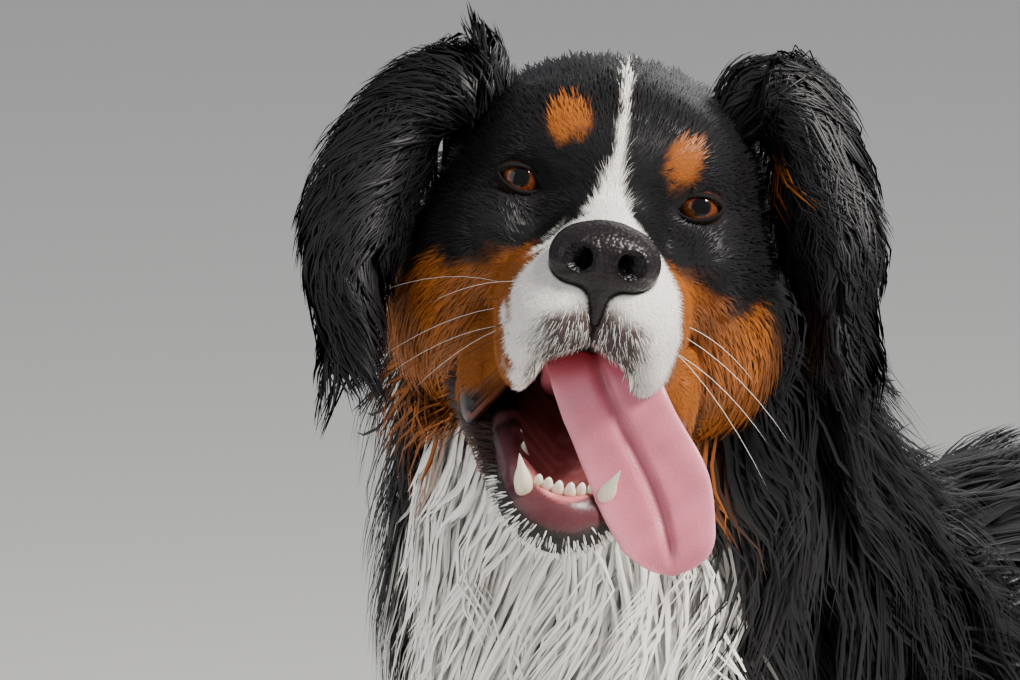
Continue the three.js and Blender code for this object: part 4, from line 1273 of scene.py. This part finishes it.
def jaw_to_body(path, up):
    """Places and directions of the shut jaw, in the body's frame once the jaw has opened."""
    return from_head(from_jaw(path)), up @ JAW_TURN.T @ HEAD_TURN.T


# The head's coat in zones from the nose back: where each starts, its tufts' steps, and the share of them
# that is kept
HEAD_ZONES = (("muzzle", -1000, 1, 1.0), ("face", -12, 2, 0.42), ("crown", 45, 3, 0.2))
HEAD_HAIRS = 90000
JAW_HAIRS = 8600
PAW_HAIRS = 2600


def head_coat(count):
    """The head's hair, in one tuft mesh for each zone.

    It is longer and stands higher from the nose backwards, on the lower cheeks and in front of the ears,
    and shorter round the eyes. Dark hairs are mixed with the white ones under the nose.
    """
    place, uv = head_wrap.scatter(count)
    kept = ~bare_of_head(place)
    place, uv = place[kept], uv[kept]
    x, y, z = place.T
    long = np.interp(y, [-90, -50, -10, 20, 60, 100, 150], [3.8, 4.8, 8, 12, 20, 36, 48])
    long += 18 * ramp(-28, -60, z) * ramp(0, 60, y)
    long += 16 * ramp(46, 64, np.abs(x)) * ramp(-6, 14, z) * ramp(10, 40, y)
    long += 5 * muzzle_grey(place)
    eye_gap = np.linalg.norm(both_sides(place) - [EYE_SPREAD, -6, 0], axis=1)
    long *= 0.5 + 0.5 * ramp(14, 32, eye_gap)
    long *= rng.uniform(0.7, 1.25, len(long))
    height = 0.5 + (0.16 + 0.16 * ramp(20, 70, y)) * long * rng.uniform(0.6, 1.4, len(long))
    width = np.interp(long, [3, 10, 40], [0.62, 0.9, 2.1]) * rng.uniform(0.7, 1.3, len(long))
    share = head_markings(place)
    speck = (rng.random(len(long)) < 0.6 * muzzle_grey(place))[:, None]
    share = np.where(speck, [0.93, 0.0, 0.07], share)
    colour = tint(share, 1.0, 0.25)
    bend = rng.normal(0, 0.16, len(long))
    parts = []
    ends = [start for _, start, _, _ in HEAD_ZONES[1:]] + [1000]
    for (_, start, steps, dense), end in zip(HEAD_ZONES, ends):
        chosen = (y >= start) & (y < end) & (rng.random(len(y)) < dense)
        parts.append(field_tufts(
            head_field, place[chosen], uv[chosen], flow_of_head, long[chosen], height[chosen], width[chosen],
            steps, colour[chosen], head_to_body, bend[chosen], 0.15, steps == 3,
        ))
    return parts


for zone, part in zip(HEAD_ZONES, head_coat(HEAD_HAIRS)):
    coat_piece("coat_" + zone[0], [part], hair)


def flow_of_jaw(p):
    """Hair lies backwards from a place before the chin, and a little down."""
    return unit(p - [0, -120, -60] + np.array([0, 0, -25.0]))


def jaw_coat(count):
    """The lower jaw's hair: none by the mouth, short at the chin and long at the throat."""
    place, uv = jaw_wrap.scatter(count)
    kept = ellipsoid(both_sides(place), *MOUTH_FLOOR) > 12.5
    place, uv = place[kept], uv[kept]
    long = np.interp(place[:, 1], [-90, -50, 0, 60, 100], [6, 8, 13, 26, 40])
    long *= rng.uniform(0.7, 1.3, len(place))
    share = jaw_markings(place)
    pick = (rng.random(len(place)) < 0.8)[:, None]
    share = np.where(pick & (place[:, 1:2] < -66), [0.05, 0, 0.95], share)
    colour = tint(share, 1.0, 0.25)
    width = np.interp(long, [5, 40], [0.9, 1.8])
    return field_tufts(
        jaw_field, place, uv, flow_of_jaw, long, 1 + 0.3 * long, width, 2, colour, jaw_to_body,
        rng.normal(0, 0.15, len(place)), 0.2,
    )


coat_piece("coat_jaw", [jaw_coat(JAW_HAIRS)], hair)


def ear_longer(t, angle):
    """Longer hair at the ear's root and at its tip."""
    return np.interp(t, [0, 0.35, 0.7, 1], [1.5, 1.15, 1.0, 1.2])


def ear_markings(p):
    """Black, with a rust patch inside the left ear near its root."""
    q = to_head(p)
    spot = 1 - ramp(0.7, 1.2, np.linalg.norm((q[:, [0, 2]] - [72, 26]) / [5, 6], axis=1))
    spot *= 1 - ramp(36, 40, q[:, 1])
    return np.stack([1 - spot, spot, 0 * spot], axis=-1)


EAR = dict(
    length=36, width=1.7, height=9, fall=0.0, wave=4.0, spread=9, turn_noise=0.16, vary=0.2,
    longer=ear_longer, matrix=from_head, mark=ear_markings,
)
EARS = (ear_left, ear_right)
coat_piece("coat_ears", [limb_tufts(ear, 285, 12, (0.02, 0.97), **EAR) for ear in EARS], hair)

# Wisps that stand up from both ear roots
WISPS = [
    Limb([([-57, 50, 34], [12, 10, 10]), ([-63, 48, 50], [8, 7, 7]), ([-69, 46, 66], [2, 2, 2])]),
    Limb([([46, 50, 44], [14, 10, 10]), ([60, 47, 60], [11, 8, 8]), ([76, 43, 70], [3, 3, 3])]),
]
WISP = dict(
    length=20, width=1.3, height=5, fall=0.0, wave=2.0, spread=5, matrix=from_head, mark=ear_markings,
)
coat_piece("coat_wisps", [limb_tufts(wisp, 34, 10, (0, 0.75), **WISP) for wisp in WISPS], hair)


WHISKER = 0.26  # a whisker's thickness


def whiskers(count):
    """Long single hairs on the sides of the muzzle.

    Each runs straight out from the skin and a little back, and bends back and down by s^2 of its length.
    """
    place, uv = head_wrap.scatter(count * 40)
    x, y, z = both_sides(place).T
    grows = (x > 16) & (y > -82) & (y < -35) & (z > -70) & (z < -44) & ~bare_of_head(place)
    place, uv = place[grows][:count], uv[grows][:count]
    long = rng.uniform(34, 70, len(place))
    colour = np.where(rng.random((len(place), 1)) < 0.6, WHITE, BLACK) * 0.8
    normal = slope(head_field, place)
    way = unit(normal + [0, 0.5, -0.25] + rng.normal(0, 0.12, place.shape))
    s = np.linspace(0, 1, 7)[None, :, None]
    path = place[:, None] + way[:, None] * long[:, None, None] * s
    path = path + np.array([0, 0.25, -0.28]) * long[:, None, None] * s * s
    up = np.broadcast_to(normal[:, None], path.shape)
    body, body_up = head_to_body(path, up)
    thin = np.full(len(place), WHISKER)
    return tuft_mesh(body, body_up, thin, thin, colour, uv)


coat_piece("whiskers", [whiskers(26)], hair)


# Coat of the body

SUNK = 3.0  # a root may lie this far inside the head
NEARLY_OUT = 0.93  # the depth in another limb above which a root still grows hair


def clear_of_head(p):
    """True where a place is outside the head and the jaw."""
    q = to_head(p)
    return (head_field(q) > -SUNK) & (jaw_field(to_jaw(q)) > -SUNK)


def neck_keep(p):
    """True for a root on the neck that is outside the head and the trunk."""
    return clear_of_head(p) & (trunk.depth(p) > NEARLY_OUT)


def trunk_keep(p):
    """True for a root on the trunk that is outside the neck."""
    return neck.depth(p) > NEARLY_OUT


def leg_keep(p):
    """True for a root on a leg that is outside the trunk and above the sole."""
    return (trunk.depth(p) > NEARLY_OUT) & (p[:, 2] > 6)


def rear_longer(t, angle):
    """Longer hair on the rear of the upper leg, short on the front and below."""
    rear = ramp(0.1, 0.9, np.sin(angle)) * (t < 0.72)
    own = np.interp(t, [0, 0.3, 0.5, 0.7, 0.8, 1], [1.1, 1.0, 0.75, 0.55, 0.42, 0.34])
    return own * (1 + 0.9 * rear)


def ruff_longer(t, angle):
    """Short hair under the jaw that soon grows long down the throat, and long hair on the nape."""
    throat = np.interp(t, [0, 0.12, 0.45, 1], [0.42, 0.6, 1.0, 1.05])
    nape = np.interp(t, [0, 0.3, 1], [0.75, 0.95, 1.05])
    high = ramp(0.2, 0.9, np.sin(angle))
    return mixed(throat, nape, high)


def belly_longer(t, angle):
    """Longer hair under the chest and belly."""
    return 1 + 0.45 * ramp(0.3, 1.0, -np.sin(angle))


NECK = dict(
    length=84, width=2.7, height=32, fall=0.4, wave=10.0, spread=21, gather=0.86, turn_noise=0.07,
    steps=5, vary=0.1, drop=0.06, keep=neck_keep, longer=ruff_longer,
)
TRUNK = dict(
    length=74, width=3.6, height=26, fall=0.5, wave=10.0, spread=18, turn_noise=0.1, vary=0.1,
    keep=trunk_keep, longer=belly_longer,
)
TAIL = dict(length=92, width=3.8, height=34, fall=0.0, wave=8, spread=13, drop=0.1)
LEG = dict(
    length=46, width=3.2, height=12, fall=0.1, wave=3.0, spread=11, keep=leg_keep, longer=rear_longer,
)
# Short broad tufts close to the skin, which fill the gaps between the locks
DOWN = dict(length=42, width=5.0, height=14, wave=4.0, spread=20, steps=2, vary=0.06)
LEG_DOWN = dict(
    length=24, width=4.6, height=7, fall=0.1, wave=2.0, spread=11, steps=2, vary=0.08, keep=leg_keep,
)


def body_coat(name, limbs, locks, each, slot="black_coat", **layout):
    """One coat piece of long hair over one or more limbs."""
    coat_piece(name, [limb_tufts(limb, locks, each, **layout) for limb in limbs], long_hair)


body_coat("coat_bib", [neck], 340, 20, "white_coat", t_range=(0.08, 1), angle_range=(-150, -30), **NECK)
body_coat("coat_ruff_left", [neck], 320, 19, angle_range=(-30, 90), **NECK)
body_coat("coat_ruff_right", [neck], 250, 18, angle_range=(90, 210), **NECK)
body_coat("down_neck", [neck], 900, 9, t_range=(0.04, 1), fall=0.4, keep=neck_keep, **DOWN)
body_coat("down_trunk", [trunk], 800, 8, fall=0.5, keep=trunk_keep, **DOWN)
body_coat("coat_chest", [trunk], 400, 16, t_range=(0.0, 0.42), **TRUNK)
body_coat("coat_back", [trunk], 400, 13, t_range=(0.4, 1.0), **TRUNK)
body_coat("coat_tail", [tail], 240, 12, t_range=(0.02, 1), **TAIL)
body_coat("down_legs", LEGS, 260, 8, "rust_coat", **LEG_DOWN)
body_coat("coat_forelegs", LEGS[:2], 205, 11, "rust_coat", **LEG)
body_coat("coat_hindlegs", LEGS[2:], 240, 11, "rust_coat", **LEG)


def paw_coat(count, paw):
    """A paw's short hair, which lies down and forwards."""
    place, uv = paw_wrap.scatter(count)
    kept = (place[:, 2] > 4) & (place[:, 2] < 84)
    place, uv = place[kept], uv[kept]
    long = np.interp(place[:, 2], [5, 40, 80], [7, 11, 16]) * rng.uniform(0.7, 1.3, len(place))
    colour = tint(body_markings(from_paw(place, *paw)), 1.0, 0.2)

    def flow(q):
        """One way for every hair: down, and half as much forwards."""
        return np.broadcast_to(unit(np.array([0, -0.5, -1.0])), q.shape)

    def paw_to_body(path, up):
        """Places and directions of the paw, in the body's frame."""
        return from_paw(path, *paw), up

    return field_tufts(
        paw_field, place, uv, flow, long, 0.8 + 0.16 * long, 1.1 + 0.05 * long, 1, colour, paw_to_body,
        rng.normal(0, 0.15, len(place)),
    )


coat_piece("coat_paws", [paw_coat(PAW_HAIRS, paw) for paw in PAWS], hair)


def claws():
    """A curved dark claw at the front of each toe."""
    meshes = []
    for paw in PAWS:
        for centre, radii in TOES:
            front = centre[1] - radii[1]
            root, tip = [centre[0], front + 7, 15], [centre[0] * 1.05, front - 9, 5]
            points, quads, triangles = tooth_mesh(root, tip, 3.6, 0.5)
            meshes.append((from_paw(points, *paw), quads, triangles))
    points, quads, triangles = joined(meshes)
    made = make_piece("claws", points, quads, triangles, np.tile(CLAW, (len(points), 1)))
    return finish_piece(made, claw_horn)


claws()

# Floor, light and camera

FLOOR_REACH = 6.0
floor_corners = [(x * FLOOR_REACH, y * FLOOR_REACH, 0) for x, y in ((-1, -1), (1, -1), (1, 1), (-1, 1))]
floor_mesh = bpy.data.meshes.new("floor")
floor_mesh.from_pydata(floor_corners, [], [(0, 1, 2, 3)])
floor = add_object("floor", floor_mesh)
floor_paint, _, floor_shader = new_material("floor_paint", Roughness=0.7)
floor_shader.inputs["Base Color"].default_value = (0.72, 0.71, 0.69, 1)
floor_mesh.materials.append(floor_paint)

world = bpy.data.worlds.new("studio")
world.use_nodes = True
sky = world.node_tree.nodes["Background"]
sky.inputs["Color"].default_value = (0.93, 0.96, 1.0, 1)
sky.inputs["Strength"].default_value = 0.42
bpy.context.scene.world = world


def aim_at(made, place, target):
    """Puts a light or camera at a place and turns its -Z axis to the target."""
    made.location = place
    made.rotation_mode = "QUATERNION"
    made.rotation_quaternion = Vector(target - place).to_track_quat("-Z", "Y")


# The camera stands at the photograph's azimuth and elevation, and is aimed so that the point midway
# between the eyes falls on its pixel in the photograph
eye_level = to_world(EYES_AT)
FRAME_WIDTH = 0.456
DISTANCE = 3.2
SENSOR = 36.0
AZIMUTH, ELEVATION = np.radians([52.0, 12.0])
IMAGE = (1020, 680)
EYES_PIXEL = (610, 193)
outwards = np.array([np.sin(AZIMUTH), -np.cos(AZIMUTH), 0.0])
back = outwards * np.cos(ELEVATION) + np.array([0, 0, np.sin(ELEVATION)])
right = np.array([np.cos(AZIMUTH), np.sin(AZIMUTH), 0.0])
above = np.cross(back, right)
pixel = FRAME_WIDTH / IMAGE[0]
target = eye_level + right * (IMAGE[0] / 2 - EYES_PIXEL[0]) * pixel
target = target + above * (EYES_PIXEL[1] - IMAGE[1] / 2) * pixel
camera = add_object("camera", bpy.data.cameras.new("camera"))
camera.data.sensor_width = SENSOR
camera.data.lens = SENSOR * DISTANCE / FRAME_WIDTH
camera.data.clip_end = 50.0
aim_at(camera, target + back * DISTANCE, target)
bpy.context.scene.camera = camera


def softbox(name, offset, size, power, colour):
    """A square light of the given size, at an offset from the eyes and aimed just below them."""
    light = bpy.data.lights.new(name, "AREA")
    light.size = size
    light.energy = power
    light.color = colour
    aim_at(add_object(name, light), eye_level + offset, eye_level + np.array([0, 0.1, -0.15]))


softbox("key", right * 1.5 + back * 1.2 + np.array([0, 0, 1.5]), 0.7, 230, (1.0, 0.97, 0.92))
softbox("fill", -right * 2.0 + back * 1.2 + np.array([0, 0, 0.4]), 2.0, 30, (0.92, 0.96, 1.0))
softbox("rim", right * 0.9 - back * 1.9 + np.array([0, 0, 1.3]), 1.4, 14, (1.0, 0.98, 0.95))
